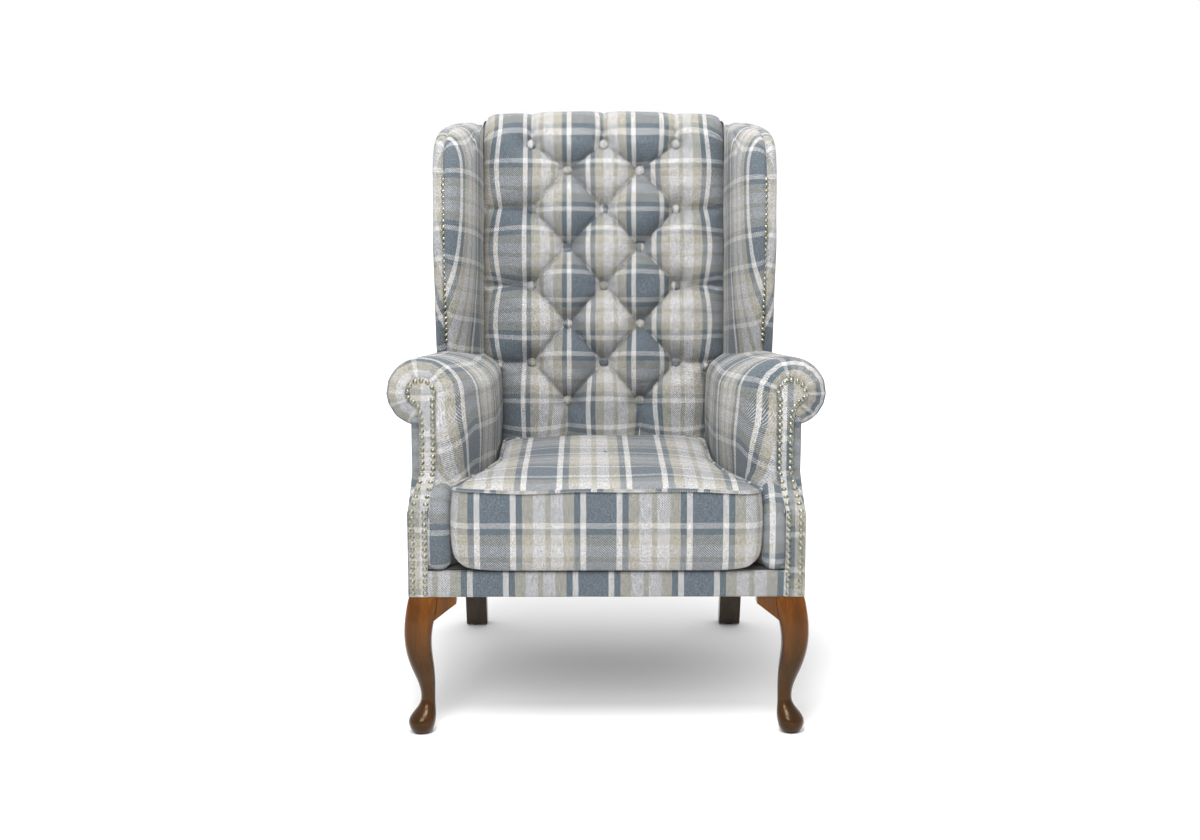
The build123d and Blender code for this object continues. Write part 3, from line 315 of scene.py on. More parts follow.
# Widths in mm from the middle of the slate band to the middle of the next
SETT = [(27.0, "slate"), (10.5, "white"), (10.5, "dark"), (19.4, "khaki"), (22.0, "cream"),
        (9.7, "khaki"), (22.0, "cream"), (19.4, "khaki"), (10.5, "dark"), (10.5, "white"),
        (27.0, "slate")]


def sett_stops():
    """The stripes of one repeat as stops of a Color Ramp."""
    place, stops = 0.0, []
    for width, yarn in SETT:
        stops.append((place, srgb(*YARNS[yarn], CLOTH_GAIN)))
        place += width / 1000 / REPEAT
    return stops


def check_cloth():
    """Warp-faced twill in a check: two sets of yarns, woven over two and under one."""
    material, tree, place = new_material("woven_check", "cloth")
    parts = node(tree, "SeparateXYZ", {0: place})
    across, along = parts.outputs["X"], parts.outputs["Y"]
    yarn_u = calc(tree, "DIVIDE", across, YARN_PITCH)
    yarn_v = calc(tree, "DIVIDE", along, YARN_PITCH)
    step = calc(tree, "ADD", calc(tree, "FLOOR", yarn_u), calc(tree, "FLOOR", yarn_v))
    over = calc(tree, "GREATER_THAN", calc(tree, "FLOORED_MODULO", step, 3.0), 0.5)
    colours, rounds = [], []
    for coordinate, yarn, slub_scale in ((across, yarn_u, (430, 70, 1)), (along, yarn_v, (70, 430, 1))):
        stripe = calc(tree, "FRACT", calc(tree, "DIVIDE", coordinate, REPEAT))
        slub = noise(tree, place, slub_scale, detail=2.0)
        colours.append(lit(tree, ramp(tree, stripe, sett_stops(), "CONSTANT"),
                           calc(tree, "MULTIPLY_ADD", slub, 1.2, 0.40)))
        off_middle = calc(tree, "ABSOLUTE", calc(tree, "SUBTRACT", calc(tree, "FRACT", yarn), 0.5))
        fall = calc(tree, "MULTIPLY", calc(tree, "POWER", off_middle, 2.0), 3.0)
        rounds.append(calc(tree, "SUBTRACT", 1.0, fall))
    colour = mix_colour(tree, over, colours[1], colours[0])
    height = node(tree, "Mix", {0: over, 2: rounds[1], 3: rounds[0]}).outputs[0]
    fuzz = noise(tree, place, (290, 290, 1), detail=2.0)
    colour = lit(tree, colour, calc(tree, "MULTIPLY_ADD", fuzz, 1.5, 0.25))
    # painted shade: each yarn is darkened towards its edges and a little lightened along its middle, as
    # light and shade fall on rounded yarns
    colour = lit(tree, colour, calc(tree, "MULTIPLY_ADD", height, 0.45, 0.62))
    relief = calc(tree, "MULTIPLY_ADD", fuzz, 0.8, height)
    return dress(material, {"Base Color": colour, "Roughness": 0.93, "Specular IOR Level": 0.22,
                            "Sheen Weight": 0.10, "Sheen Roughness": 0.6}, (0.55, 0.0004, relief))


def wood(name, stops, grain, roughness, coat, foot=None):
    """Timber with the grain running up; foot is (low, high, tint): the colour is multiplied by tint at
    low and below, less and less up to high, so the lower part is darker.
    """
    material, tree, place = new_material(name)
    waves = noise(tree, place, (grain, grain, grain * 0.07), detail=6.0, roughness=0.6)
    pores = noise(tree, place, (grain * 14, grain * 14, grain * 0.5), detail=2.0)
    figure = calc(tree, "MULTIPLY_ADD", pores, 0.18, calc(tree, "MULTIPLY", waves, 0.86))
    colour = ramp(tree, figure, stops)
    if foot:
        low, high, tint = foot
        height = node(tree, "SeparateXYZ", {0: place}).outputs["Z"]
        share = node(tree, "MapRange", {0: height, 1: low, 2: high}).outputs[0]
        colour = mix_colour(tree, 1.0, colour, mix_colour(tree, share, tint, (1, 1, 1, 1)), "MULTIPLY")
    uneven = calc(tree, "MULTIPLY_ADD", noise(tree, place, (30, 30, 30)), 0.16, roughness - 0.08)
    return dress(material, {"Base Color": colour, "Roughness": uneven, "Specular IOR Level": 0.3,
                            "Specular Tint": (1.0, 0.74, 0.42, 1.0), "Coat Weight": coat,
                            "Coat Roughness": 0.12}, (0.10, 0.0003, pores))


def metal(name, bright, dull, roughness):
    """Metal with uneven tarnish."""
    material, tree, place = new_material(name)
    tarnish = ramp(tree, noise(tree, place, (240, 240, 240)), [(0.35, dull), (0.62, bright)])
    scuffs = noise(tree, place, (900, 900, 900), detail=2.0)
    worn = calc(tree, "MULTIPLY_ADD", scuffs, 0.25, roughness - 0.12)
    return dress(material, {"Base Color": tarnish, "Roughness": worn, "Metallic": 1.0},
                 (0.12, 0.0002, scuffs))


def plain_weave(name, colour, pitch, contrast):
    """Plain woven or felted cloth of one colour, placed by the piece's own coordinates."""
    material, tree, place = new_material(name)
    parts = node(tree, "SeparateXYZ", {0: place})
    turns = 2 * math.pi / pitch
    threads = [calc(tree, "SINE", calc(tree, "MULTIPLY", parts.outputs[axis], turns)) for axis in "XY"]
    weave = calc(tree, "MULTIPLY_ADD", calc(tree, "MULTIPLY", *threads), 0.5, 0.5)
    fluff = noise(tree, place, (700, 700, 700), detail=4.0)
    figure = calc(tree, "MULTIPLY_ADD", fluff, 0.6, calc(tree, "MULTIPLY", weave, 0.4))
    thread = ramp(tree, figure, [(0.25, darker(colour, 1 - contrast)), (0.75, colour)])
    return dress(material, {"Base Color": thread, "Roughness": 0.9, "Sheen Weight": 0.15},
                 (0.4, 0.0004, figure))


def moulded(name, colour, roughness):
    """Moulded nylon with a fine texture."""
    material, tree, place = new_material(name)
    grain = noise(tree, place, (1500, 1500, 1500), detail=2.0)
    surface = ramp(tree, grain, [(0.3, darker(colour, 0.8)), (0.7, colour)])
    return dress(material, {"Base Color": surface, "Roughness": roughness}, (0.2, 0.0002, grain))


check = check_cloth()
# the legs get darker and bluer from 0.25 m down to 0.13 m
mahogany = wood("polished_mahogany",
                [(0.28, srgb(38, 15, 2)), (0.50, srgb(78, 40, 4)), (0.72, srgb(112, 62, 10))],
                26, 0.24, 0.12, (0.13, 0.25, srgb(140, 140, 160)))
stained_beech = wood("stained_beech", [(0.30, srgb(26, 22, 22)), (0.70, srgb(58, 48, 44))],
                     30, 0.34, 0.4)
plain_beech = wood("plain_beech", [(0.30, srgb(176, 138, 98)), (0.70, srgb(214, 182, 142))],
                   24, 0.6, 0.0)
nail_metal = metal("antique_nail", srgb(150, 150, 134), srgb(92, 92, 76), 0.30)
steel = metal("zinc_steel", srgb(190, 192, 194), srgb(140, 142, 146), 0.38)
nylon = moulded("nylon_glide", srgb(52, 48, 46), 0.5)
webbing_cloth = plain_weave("webbing", srgb(70, 62, 54), 0.0022, 0.5)
felt = plain_weave("deck_felt", srgb(182, 176, 164), 0.0030, 0.35)
lining = plain_weave("lining_cloth", srgb(46, 46, 48), 0.0014, 0.4)
zip_tape = plain_weave("zip_tape", srgb(116, 122, 130), 0.0012, 0.4)
zip_metal = metal("zip_metal", srgb(200, 190, 160), srgb(140, 128, 98), 0.32)


def pairs(*names):
    """The left and right nodes of each name."""
    return [f"{name}_{hand}" for name in names for _, hand in SIDES]


CAD_MATERIALS = {
    mahogany: pairs("front_leg", "knee_ears"),
    stained_beech: pairs("back_post"),
    plain_beech: ["front_rail", "back_rail", "corner_blocks", "frame_dowels", "back_top_rail",
                  "back_tack_rail", *pairs("side_rail", "arm_front_post", "arm_top_rail",
                                           "arm_tack_rail", "wing_post", "wing_top_rail")],
    nail_metal: pairs("arm_nails", "wing_nails"),
    steel: ["corner_block_screws", "front_leg_bolts", "front_leg_nuts", "seat_springs", "spring_clips"],
    nylon: ["foot_glides"],
    zip_tape: ["cushion_zip"],
    zip_metal: ["zip_slider"],
}
for material, names in CAD_MATERIALS.items():
    for name in names:
        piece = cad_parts[name]
        if not piece.material_slots:
            piece.data.materials.append(None)
        for slot in piece.material_slots:
            slot.link = "OBJECT"
            slot.material = material


def settle(piece, nodes, body="chair", held=None):
    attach(piece, body)
    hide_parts(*nodes)
    if held:
        width, length, area = flat_cut(piece)


def flat_cut(piece):
    """Width, length and area of the cloth that a piece is cut from, by its place on the cloth."""
    uv = np.zeros(len(piece.data.loops) * 2)
    piece.data.uv_layers["cloth"].data.foreach_get("uv", uv)
    uv = uv.reshape(-1, 2)
    area = 0.0
    for face in piece.data.polygons:
        x, y = uv[face.loop_start:face.loop_start + face.loop_total].T
        area += abs(np.dot(x, np.roll(y, -1)) - np.dot(y, np.roll(x, -1))) / 2
    width, length = uv.max(0) - uv.min(0)
    return width, length, min(area, width * length)


# ---------------- buttoned back
BLOCK = 14  # mesh steps between two button lines
ROWS = [*(FIRST_ROW + ROW * row for row in range(7)), TOP_BUTTON]
COLUMNS = [(-1, 0, 1) if row % 2 else (-0.5, 0.5) for row in range(len(ROWS))]
BUTTONS = [(c * PITCH, t) for t, columns in zip(ROWS, COLUMNS) for c in columns]
# The cover's line over the top rail, as (n, t), from the top buttons to its rear edge
ROLL_OVER = [(0.066, 0.786), (0.064, 0.806), (0.053, 0.832), (0.024, 0.848), (-0.010, 0.8455),
             (-0.030, 0.839), (-0.0378, 0.827), (-0.0378, 0.806)]
roll_line = curve(ROLL_OVER, 43)
roll_length = lengths(roll_line)
T_END = TOP_BUTTON + roll_length[-1]
EDGE = 0.016  # height of the padding where it meets the arms and wings
BLEND = 0.0022  # how softly the dents in the padding run into each other
PLEAT_REACH, BUTTON_EDGE, BUTTON_REACH = 0.044, 0.0085, 0.046
TUCKED = 0.06  # cover that runs on below the seat
# Places past the cover's side and top edges, which close the outer cells
PAST_SIDE, PAST_TOP = 0.3, 1.2
# Where the middles of the slate bands run over the back: x or t, and the number of repeats there
WARP_ON_BACK = [(-0.335, -1.0), (-0.187, 0.0), (-0.049, 1.0), (0.087, 2.0), (0.234, 3.0), (0.380, 4.0)]
WEFT_ON_BACK = [(0.045, -1.0), (0.230, 0.0), (0.373, 1.0), (0.492, 2.0), (0.625, 3.0), (0.771, 4.0),
                (0.955, 5.0)]
BUTTON_R, BUTTON_RISE = 0.0110, 0.0095
# A button's section, from its middle over the rim, in shares of those two
BUTTON_SECTION = [(0.0, 1.0), (0.45, 0.94), (0.8, 0.66), (1.0, 0.25), (0.97, -0.1), (0.80, -0.4)]


def pleats():
    """The folds in the back's cover: from (x, t, height) to (x, t, height), and the height half way."""
    folds = []
    for low, high, low_columns, high_columns in zip(ROWS, ROWS[1:], COLUMNS, COLUMNS[1:]):
        folds += [((a * PITCH, low, 0.0), (b * PITCH, high, 0.0), 0.016)
                  for a in low_columns for b in high_columns if abs(a - b) < 0.6]
    for t in ROWS[1:7:2]:
        edge = HALF_HIGH if t > ARM_LINE else HALF_LOW
        for side in (-1, 1):
            folds.append(((side * PITCH, t, 0.0), (side * edge, t, EDGE), 0.017))
    for column in (-1, 0, 1):
        folds.append(((column * PITCH, TOP_BUTTON, 0.0), (column * PITCH, T_END, 0.004), 0.006))
    for side in (-0.5, 0.5):
        folds.append(((side * PITCH, FIRST_ROW, 0.0), (side * PITCH, SEAT_END, 0.012), 0.013))
    return folds


def back_edge(t):
    """Half width of the buttoned cover at t: narrow between the arms, wider between the wings."""
    return np.interp(t, (ARM_LINE - 0.016, ARM_LINE + 0.016), (HALF_LOW, HALF_HIGH))


def dents(x, t, full):
    """The height that each pleat, the cover's sides and each button leave, one after another."""
    def fold(distance, height):
        rise = (1 - (1 - part(distance, 0, PLEAT_REACH)) ** 2.1) ** 0.62
        return between(np.minimum(height, full * 0.8), full, rise)

    for (x0, t0, h0), (x1, t1, h1), middle in pleats():
        dx, dt = x1 - x0, t1 - t0
        s = np.clip(((x - x0) * dx + (t - t0) * dt) / (dx * dx + dt * dt), 0, 1)
        arch = np.sin(math.pi * s) ** 0.8
        height = between(h0, h1, s) + (middle - (h0 + h1) / 2) * arch
        yield fold(np.hypot(x - x0 - s * dx, t - t0 - s * dt), height)
    yield fold(back_edge(t) - np.abs(x), EDGE)
    for across, up in BUTTONS:
        near = part(np.hypot(x - across, t - up) - BUTTON_EDGE, 0, BUTTON_REACH)
        yield full * (1 - (1 - near) ** 2) ** 0.85


def back_height(x, t):
    """How far the padding stands proud of the button line."""
    full = np.interp(t, (TOP_BUTTON - 0.03, TOP_BUTTON, TOP_BUTTON + 0.06, TOP_BUTTON + 0.09, T_END),
                     (TUFT_RISE, 0.040, 0.015, 0.008, 0.001))
    total = np.exp(-full / BLEND)
    for height in dents(x, t, full):
        total = total + np.maximum(np.exp(-height / BLEND) - np.exp(-full / BLEND), 0)
    return -np.log(total) * BLEND


def tuft_cells():
    """Outlines of the stuffed cells between the pleats, each with the place its cloth is laid from."""
    half, edge, top = PITCH / 2, PAST_SIDE, TOP_BUTTON
    cells = [([(x, mid - ROW), (x + half, mid), (x, mid + ROW), (x - half, mid)], (x, mid))
             for row, mid in list(enumerate(ROWS))[1:6] for x in ((-half, half) if row % 2 else (0.0,))]
    cells.append(([(0, ROWS[6] - ROW), (half, ROWS[6]), (0, top), (-half, ROWS[6])], (0, ROWS[6])))
    cells.append(([(0, ROWS[1]), (-half, ROWS[0]), (-half, 0), (half, 0), (half, ROWS[0])],
                  (0, ROWS[0] - 0.02)))
    right = [([(PITCH, ROWS[i]), (edge, ROWS[i]), (edge, ROWS[i + 2]), (PITCH, ROWS[i + 2]),
               (half, ROWS[i + 1])], (0.16, ROWS[i + 1])) for i in (1, 3)]
    right.append(([(PITCH, ROWS[5]), (edge, ROWS[5]), (edge, PAST_TOP), (PITCH, PAST_TOP), (PITCH, top),
                   (half, ROWS[6])], (0.17, ROWS[6])))
    right.append(([(half, ROWS[6]), (PITCH, top), (PITCH, PAST_TOP), (0, PAST_TOP), (0, top)],
                  (half, top + 0.03)))
    right.append(([(PITCH, ROWS[1]), (half, ROWS[0]), (half, 0), (edge, 0), (edge, ROWS[1])],
                  (0.15, ROWS[0])))
    for side, _ in SIDES:
        cells += [([(side * x, t) for x, t in outline], (side * x_from, t_from))
                  for outline, (x_from, t_from) in right]
    return cells


def inside(outline, x, t):
    """Whether each point is inside the outline."""
    found = np.zeros(x.shape, bool)
    for (x0, t0), (x1, t1) in zip(outline, outline[1:] + outline[:1]):
        if t0 != t1:
            found ^= ((t0 > t) != (t1 > t)) & (x < (x1 - x0) * (t - t0) / (t1 - t0) + x0)
    return found


def back_places():
    """The back's mesh: x and t of a grid whose lines run through the buttons, and its triangles, cut
    along the pleats."""
    t_lines = [SEAT_END - TUCKED, SEAT_END, *ROWS]
    x_lines = [-1.0, -PITCH, -PITCH / 2, 0.0, PITCH / 2, PITCH, 1.0]

    def steps(lines):
        return np.linspace(lines[:-1], lines[1:], BLOCK, endpoint=False).T.ravel()

    level = np.concatenate([steps(t_lines), TOP_BUTTON + roll_length])
    x = np.array([[*steps([-edge, *x_lines[1:-1], edge]), edge] for edge in back_edge(level)])
    t = np.repeat(level[:, None], x.shape[1], 1)
    quads = grid_faces(*x.shape)[0]
    block_row = np.searchsorted(t_lines, t.ravel()[quads].mean(1)) - 1
    block_column = np.searchsorted(x_lines, x.ravel()[quads].mean(1)) - 1
    rising = ((block_row + block_column) % 2 == 0)[:, None]
    faces = np.concatenate([np.where(rising, quads[:, [0, 1, 2]], quads[:, [0, 1, 3]]),
                            np.where(rising, quads[:, [0, 2, 3]], quads[:, [1, 2, 3]])])
    return x, t, faces


def cell_cloth(x, t):
    """The cloth's place at each corner of each face, from its x and t, laid cell by cell."""
    def fullness(share):
        return 1.08 + 0.20 * np.clip(np.abs(share), 0, 1) ** 1.8

    uv = np.zeros((*x.shape, 2))
    for outline, (cell_x, cell_t) in tuft_cells():
        here = inside(outline, x.mean(1), t.mean(1))
        off_x, off_t = x[here] - cell_x, t[here] - cell_t
        warp = REPEAT * np.interp(cell_x, *zip(*WARP_ON_BACK))
        weft = REPEAT * np.interp(cell_t, *zip(*WEFT_ON_BACK))
        uv[here, :, 0] = warp + off_x * fullness(off_t / ROW)
        uv[here, :, 1] = weft + off_t * fullness(off_x / (PITCH / 2))
    return uv


def make_back():
    """The buttoned inside back and its roll over the top rail."""
    x, t, faces = back_places()
    height = back_height(x, t)
    past = np.clip(t - TOP_BUTTON, 0, None)
    base_n = np.interp(past, roll_length, roll_line[:, 0])
    base_t = np.where(t <= TOP_BUTTON, t, np.interp(past, roll_length, roll_line[:, 1]))
    tangent = unit(np.gradient(roll_line, roll_length, axis=0))
    ease = part(past, 0, 0.02)
    out_n = between(1, np.interp(past, roll_length, tangent[:, 1]), ease)
    out_t = np.interp(past, roll_length, -tangent[:, 0]) * ease
    size = np.hypot(out_n, out_t)
    corner = 1 - part(HALF_HIGH - np.abs(x), 0, 0.024)
    arch = 0.004 - 0.008 * (np.abs(x) / HALF_HIGH) ** 2 - 0.016 * (1 - np.sqrt(1 - corner**2))
    base_t = base_t + arch * part(past, 0, 0.04) * part(roll_length[-1] - past, 0, 0.03)
    uneven = 0.0012 * wobble(layered(x, t, 0.0), 0.05, 3)
    height = height + uneven * part(height, 0, TUFT_RISE)
    points = on_back(x, base_t + height * out_t / size, base_n + height * out_n / size)
    return add_mesh("inside_back", points, faces, cell_cloth(x.ravel()[faces], t.ravel()[faces]), check)


def make_buttons():
    """All twenty cloth-covered buttons as one piece: low domes with a tucked rim."""
    profile = curve([(out, up * BUTTON_RISE) for out, up in BUTTON_SECTION], 12)
    angles = round_angles(24)
    ring_x = profile[:, :1] * BUTTON_R * np.cos(angles)
    ring_t = profile[:, :1] * BUTTON_R * np.sin(angles)
    domes = []
    for seed, (x, t) in enumerate(BUTTONS):
        cut_u, cut_v = np.random.default_rng(seed).uniform(0, REPEAT, 2)
        domes.append((on_back(x + ring_x, t + ring_t, BACK_FOAM + profile[:, 1:]),
                      first_again(layered(ring_x + cut_u, ring_t + cut_v))))
    return add_grids("back_buttons_cloth", domes, check, closed=True, flip=True)


settle(make_back(), ["inside_back_pad"])
settle(make_buttons(), ["back_buttons"])

# ---------------- arms
# Points round the roll, over its shoulder and down the inside face
GIRTH_ROUND, GIRTH_SHOULDER, GIRTH_FACE = 46, 22, 30
# The gathered front: how far behind the front panel, and how far inside the full girth
NOSE = [(0.0075, 0.0400), (0.0045, 0.0345), (0.0045, 0.030), (0.0065, 0.0245), (0.010, 0.0185),
        (0.0155, 0.0125), (0.023, 0.0065), (0.033, 0.0022), (0.045, 0.0)]
NOSE_PULL = 0.0345
# The roll gets thinner by this share, and further in and lower by these, from TAPER_Y to ARM_REAR_Y
TAPER_Y, TAPER_THIN, TAPER_IN, TAPER_DOWN = -0.291, 0.28, 0.0365, 0.032
ARM_BACK_N = -0.030  # how far behind the front of the back posts an arm may reach
# The rings that close an arm's rear end: how much of the last one they keep, and the cloth's run there
ARM_END = [(0.9, 0.01), (0.6, 0.03), (0.3, 0.045), (0.0, 0.06)]
ARM_END_MIDDLE = np.array([0.302, 0, 0.585])


def facing_inner_x(z):
    """Inner edge of the arm's front panel."""
    ring_in = SCROLL_X - SCROLL_R
    return np.interp(z, (KINK_Z, NECK_Z, SCROLL_Z - 0.012, SCROLL_Z),
                     (FOOT_IN, NECK_IN, NECK_IN, ring_in))


def arm_ring(setback, pull):
    """One ring of the padded arm, from under the roll over the top and down to the deck: its points,
    the cloth's v at each, and how far each leans forward with the front panel."""
    y = SCROLL_Y + setback
    share = part(y, TAPER_Y, ARM_REAR_Y)
    gather = min(pull / NOSE_PULL, 1.0)
    radius = ROLL_R * (1 - TAPER_THIN * share) - pull
    x = ROLL_X - TAPER_IN * share + (SCROLL_X - ROLL_X) * gather
    z = ROLL_Z - TAPER_DOWN * share + (SCROLL_Z - ROLL_Z) * gather
    turn = np.radians(np.linspace(-96, 90, GIRTH_ROUND))
    around = np.stack([x + radius * np.cos(turn), z + radius * np.sin(turn)], 1)
    corner_z = z - 0.008
    inside_x = between(arm_inner_x(y), facing_inner_x(corner_z), gather)
    bend = np.radians(np.linspace(0, 90, GIRTH_SHOULDER + 1))[1:]
    shoulder = np.stack([x - (x - inside_x) * np.sin(bend),
                         corner_z + (z + radius - corner_z) * np.cos(bend)], 1)
    low = np.linspace(corner_z, CUSHION_BOTTOM + 0.001, GIRTH_FACE + 1)[1:]
    depth = part(low, corner_z, CUSHION_BOTTOM)
    plain = arm_inner_x(y) + 0.004 * depth - 0.005 * np.sin(math.pi * np.clip(depth * 1.7, 0, 1))
    face = np.stack([between(plain, facing_inner_x(low), gather), low], 1)
    section = np.concatenate([around, shoulder, face])
    y = np.minimum(y, lean_y(section[:, 1], ARM_BACK_N))
    forward = (arm_front_y(section[:, 1]) - SCROLL_Y) * part(setback, 0.13, 0) ** 1.5
    points = np.stack([section[:, 0], y + forward, section[:, 1]], 1)
    v = CUSHION_BOTTOM + lengths(section[::-1])[::-1] + TAPER_DOWN * share
    return points, v, forward


def make_arm(side, slate_y, slate_z):
    """The padded arm: gathered round the scroll, rolled outwards, and running back beside the seat.
    slate_y and slate_z are where the middles of two slate bands cross it."""
    stations = NOSE + [(setback, 0.0) for setback in np.linspace(0.058, TAIL_END_Y - SCROLL_Y, 62)]
    setback = np.array(stations)[:, :1]
    points, v, forward = map(np.array, zip(*(arm_ring(*station) for station in stations)))
    last = len(NOSE) - 1
    z = points[..., 2]
    # The gathered cloth runs round the nose, pulled up at the front and back towards the seat
    v[:last] = v[last]
    v = v + 0.038 * part(z, 0.62, 0.56) * part(setback, 0.085, 0) ** 1.3
    nose_run = lengths(points[:last + 1, GIRTH_ROUND - 1])
    u = SCROLL_Y + setback
    u[:last, 0] = u[last, 0] - (nose_run[-1] - nose_run[:last])
    u = u + forward - 0.032 * part(z, 0.56, 0.42) * part(points[..., 1], -0.20, -0.29)
    turn = np.arange(points.shape[1])
    ripple = np.sin(turn * 1.15 + 0.9 * np.sin(turn * 0.31)) + 0.5 * np.sin(turn * 0.63 + 1.0)
    ripple *= part(points[0, :, 2], 0.50, 0.56)  # no folds on the inside face
    gathers = np.sin((np.arange(last) + 0.2) / last * math.pi) ** 0.7
    nose = points[:last]
    away = unit(nose - layered(SCROLL_X, nose[:, :1, 1], SCROLL_Z))
    nose += (gathers[:, None] * ripple)[..., None] * (0.0008 * away - np.array([0, 0.0009, 0]))
    points[last:, :, 0] -= 0.0011 * wobble(points[last:], 0.11, 5 + side)
    rear_y = points[-1, :, 1]
    for kept, _ in ARM_END:
        ring = ARM_END_MIDDLE + (points[-1] - ARM_END_MIDDLE) * kept ** 0.5
        ring[:, 1] = rear_y + 0.004 * (1 - kept)
        points = np.concatenate([points, ring[None]])
    u = np.concatenate([u, u[-1:] + np.array([[run] for _, run in ARM_END])])
    v = np.concatenate([v, np.repeat(v[-1:], len(ARM_END), 0)])
    return add_sided("arm", side, points, u - slate_y, v - slate_z)


settle(make_arm(-1, -0.2535, 0.512), ["arm_pad_left"])
settle(make_arm(1, -0.274, 0.480), ["arm_pad_right"])

# ---------------- arm fronts
FACING_CROWN, FACING_TURN = 0.0013, 0.0085  # rise of the front panel, and the cloth turned back


def facing_outline(z):
    """Inner and outer edge of the arm's front panel at height z."""
    above = np.clip(SCROLL_R**2 - (z - SCROLL_Z) ** 2, 0, None) ** 0.5
    inner = np.where(z > SCROLL_Z, SCROLL_X - above, facing_inner_x(z))
    tail_z = [SCROLL_Z + fall for _, fall in SCROLL_TAIL]
    tail_x = [SCROLL_X + out for out, _ in SCROLL_TAIL]
    neck = np.interp(z, [KINK_Z, NECK_Z] + tail_z, [FOOT_OUT, NECK_OUT] + tail_x)
    return inner, np.where(z < tail_z[-1], neck, SCROLL_X + above)


def make_facing(side, slate_x, slate_z):
    """The nailed panel on the arm's front: softly crowned, with its edges turned back."""
    low = np.linspace(LEG_TOP, SCROLL_Z - SCROLL_R - 0.006, 90)
    high = SCROLL_Z + SCROLL_R * np.sin(np.linspace(-math.pi / 2, math.pi / 2, 60))
    z = np.concatenate([low, high])[:, None]
    inner, outer = facing_outline(z)
    across = np.linspace(0, 1, 25)
    edge = np.minimum(across, 1 - across) * (outer - inner)
    rise = FACING_CROWN * rounded(edge / 0.009) * part(outer - inner, 0, 0.03)
    points = layered(between(inner, outer, across), arm_front_y(z) + 0.0012 - rise, z)
    rim = points[:, [0, -1]] + np.array([0, FACING_TURN, 0])
    points = np.concatenate([rim[:, :1], points, rim[:, 1:]], 1)
    u = side * points[..., 0] - slate_x
    u[:, 0] -= side * FACING_TURN
    u[:, -1] += side * FACING_TURN
    up = lengths(np.concatenate([z, arm_front_y(z)], 1))[:, None]
    return add_sided("arm_front", side, points, u, LEG_TOP + up - slate_z)


def make_bolster(side, slate_x, slate_z):
    """The small pillow of padding between the seat cushion and the arm's front panel."""
    profile = curve([(-0.345, BORDER_TOP), (FRONT_Y + 0.012, BORDER_TOP + 0.001),
                     (FRONT_Y + 0.001, BORDER_TOP + 0.018), (FRONT_Y - 0.001, BORDER_TOP + 0.055),
                     (FRONT_Y + 0.001, KINK_Z - 0.020), (FRONT_Y + 0.012, KINK_Z + 0.012),
                     (FRONT_Y + 0.034, KINK_Z + 0.034), (FRONT_Y + 0.060, KINK_Z + 0.046)], 44)
    run = lengths(profile)
    across = np.linspace(0, 1, 26)
    crown = rounded(np.minimum(across, 1 - across) * 2)
    sink = 0.026 * (1 - between(np.where(across < 0.5, 0.15, 0.45), 1, crown))
    normal = quarter_turn(np.gradient(profile, run, axis=0))
    x = between(arm_inner_x(FRONT_Y) - 0.004, FOOT_IN + 0.0035, across)
    points = layered(x, profile[:, :1] + normal[:, :1] * sink, profile[:, 1:] + normal[:, 1:] * sink)
    v = (BORDER_TOP + run - slate_z)[:, None]
    return add_sided("arm_bolster", side, points, side * x - slate_x, v)


settle(make_facing(-1, -0.400, 0.601), ["arm_facing_left"])
settle(make_facing(1, 0.2863, 0.527), ["arm_facing_right"])
settle(make_bolster(-1, -0.2885, 0.374), ["arm_front_bolster_left"])
settle(make_bolster(1, 0.327, 0.320), ["arm_front_bolster_right"])

# ---------------- wings
# The edge seen from the side, as (y, z), and the height on the back's side that it is drawn across to
WING_OUTLINE = [
    (0.043, 0.585, 0.585), (0.034, 0.652, 0.645), (0.004, 0.760, 0.755), (-0.013, 0.860, 0.852),
    (-0.012, 0.950, 0.935), (0.000, 1.010, 0.982), (0.018, 1.046, 1.012), (0.046, 1.068, 1.036),
    (0.090, 1.078, 1.058), (0.160, 1.083, 1.074), (0.250, 1.087, 1.088), (0.345, 1.090, 1.094),
    (0.388, 1.088, 1.091), (0.4035, 1.074, 1.076), (0.4040, 1.058, 1.060)]
WING_SEAM = 0.3128  # x of the seam between a wing's two covers
# The covers' sections from that seam: how far in from the outline, and x
WING_ROLL = [(0.0090, WING_SEAM), (0.0030, 0.3080), (0.0, 0.3010), (0.0022, 0.2930), (0.0090, 0.2850),
             (0.0200, 0.2775), (0.0360, 0.2705), (0.0600, 0.2630)]
WING_EDGE = [(0.0088, WING_SEAM), (0.0048, 0.3185), (0.0058, 0.3260), (0.0120, 0.3315),
             (0.0220, 0.3340)]
WING_EASE = 1.10  # cloth taken up over the wing's height
WING_TOP_Z = 1.0  # the outline is the wing's top above this
# The cloth over a back post's top: its middle, and its size to each side and upwards
POST_CAP, POST_CAP_SIZE = np.array([0.2670, 0.3725, 1.0560]), np.array([0.0400, 0.0315, 0.0294])


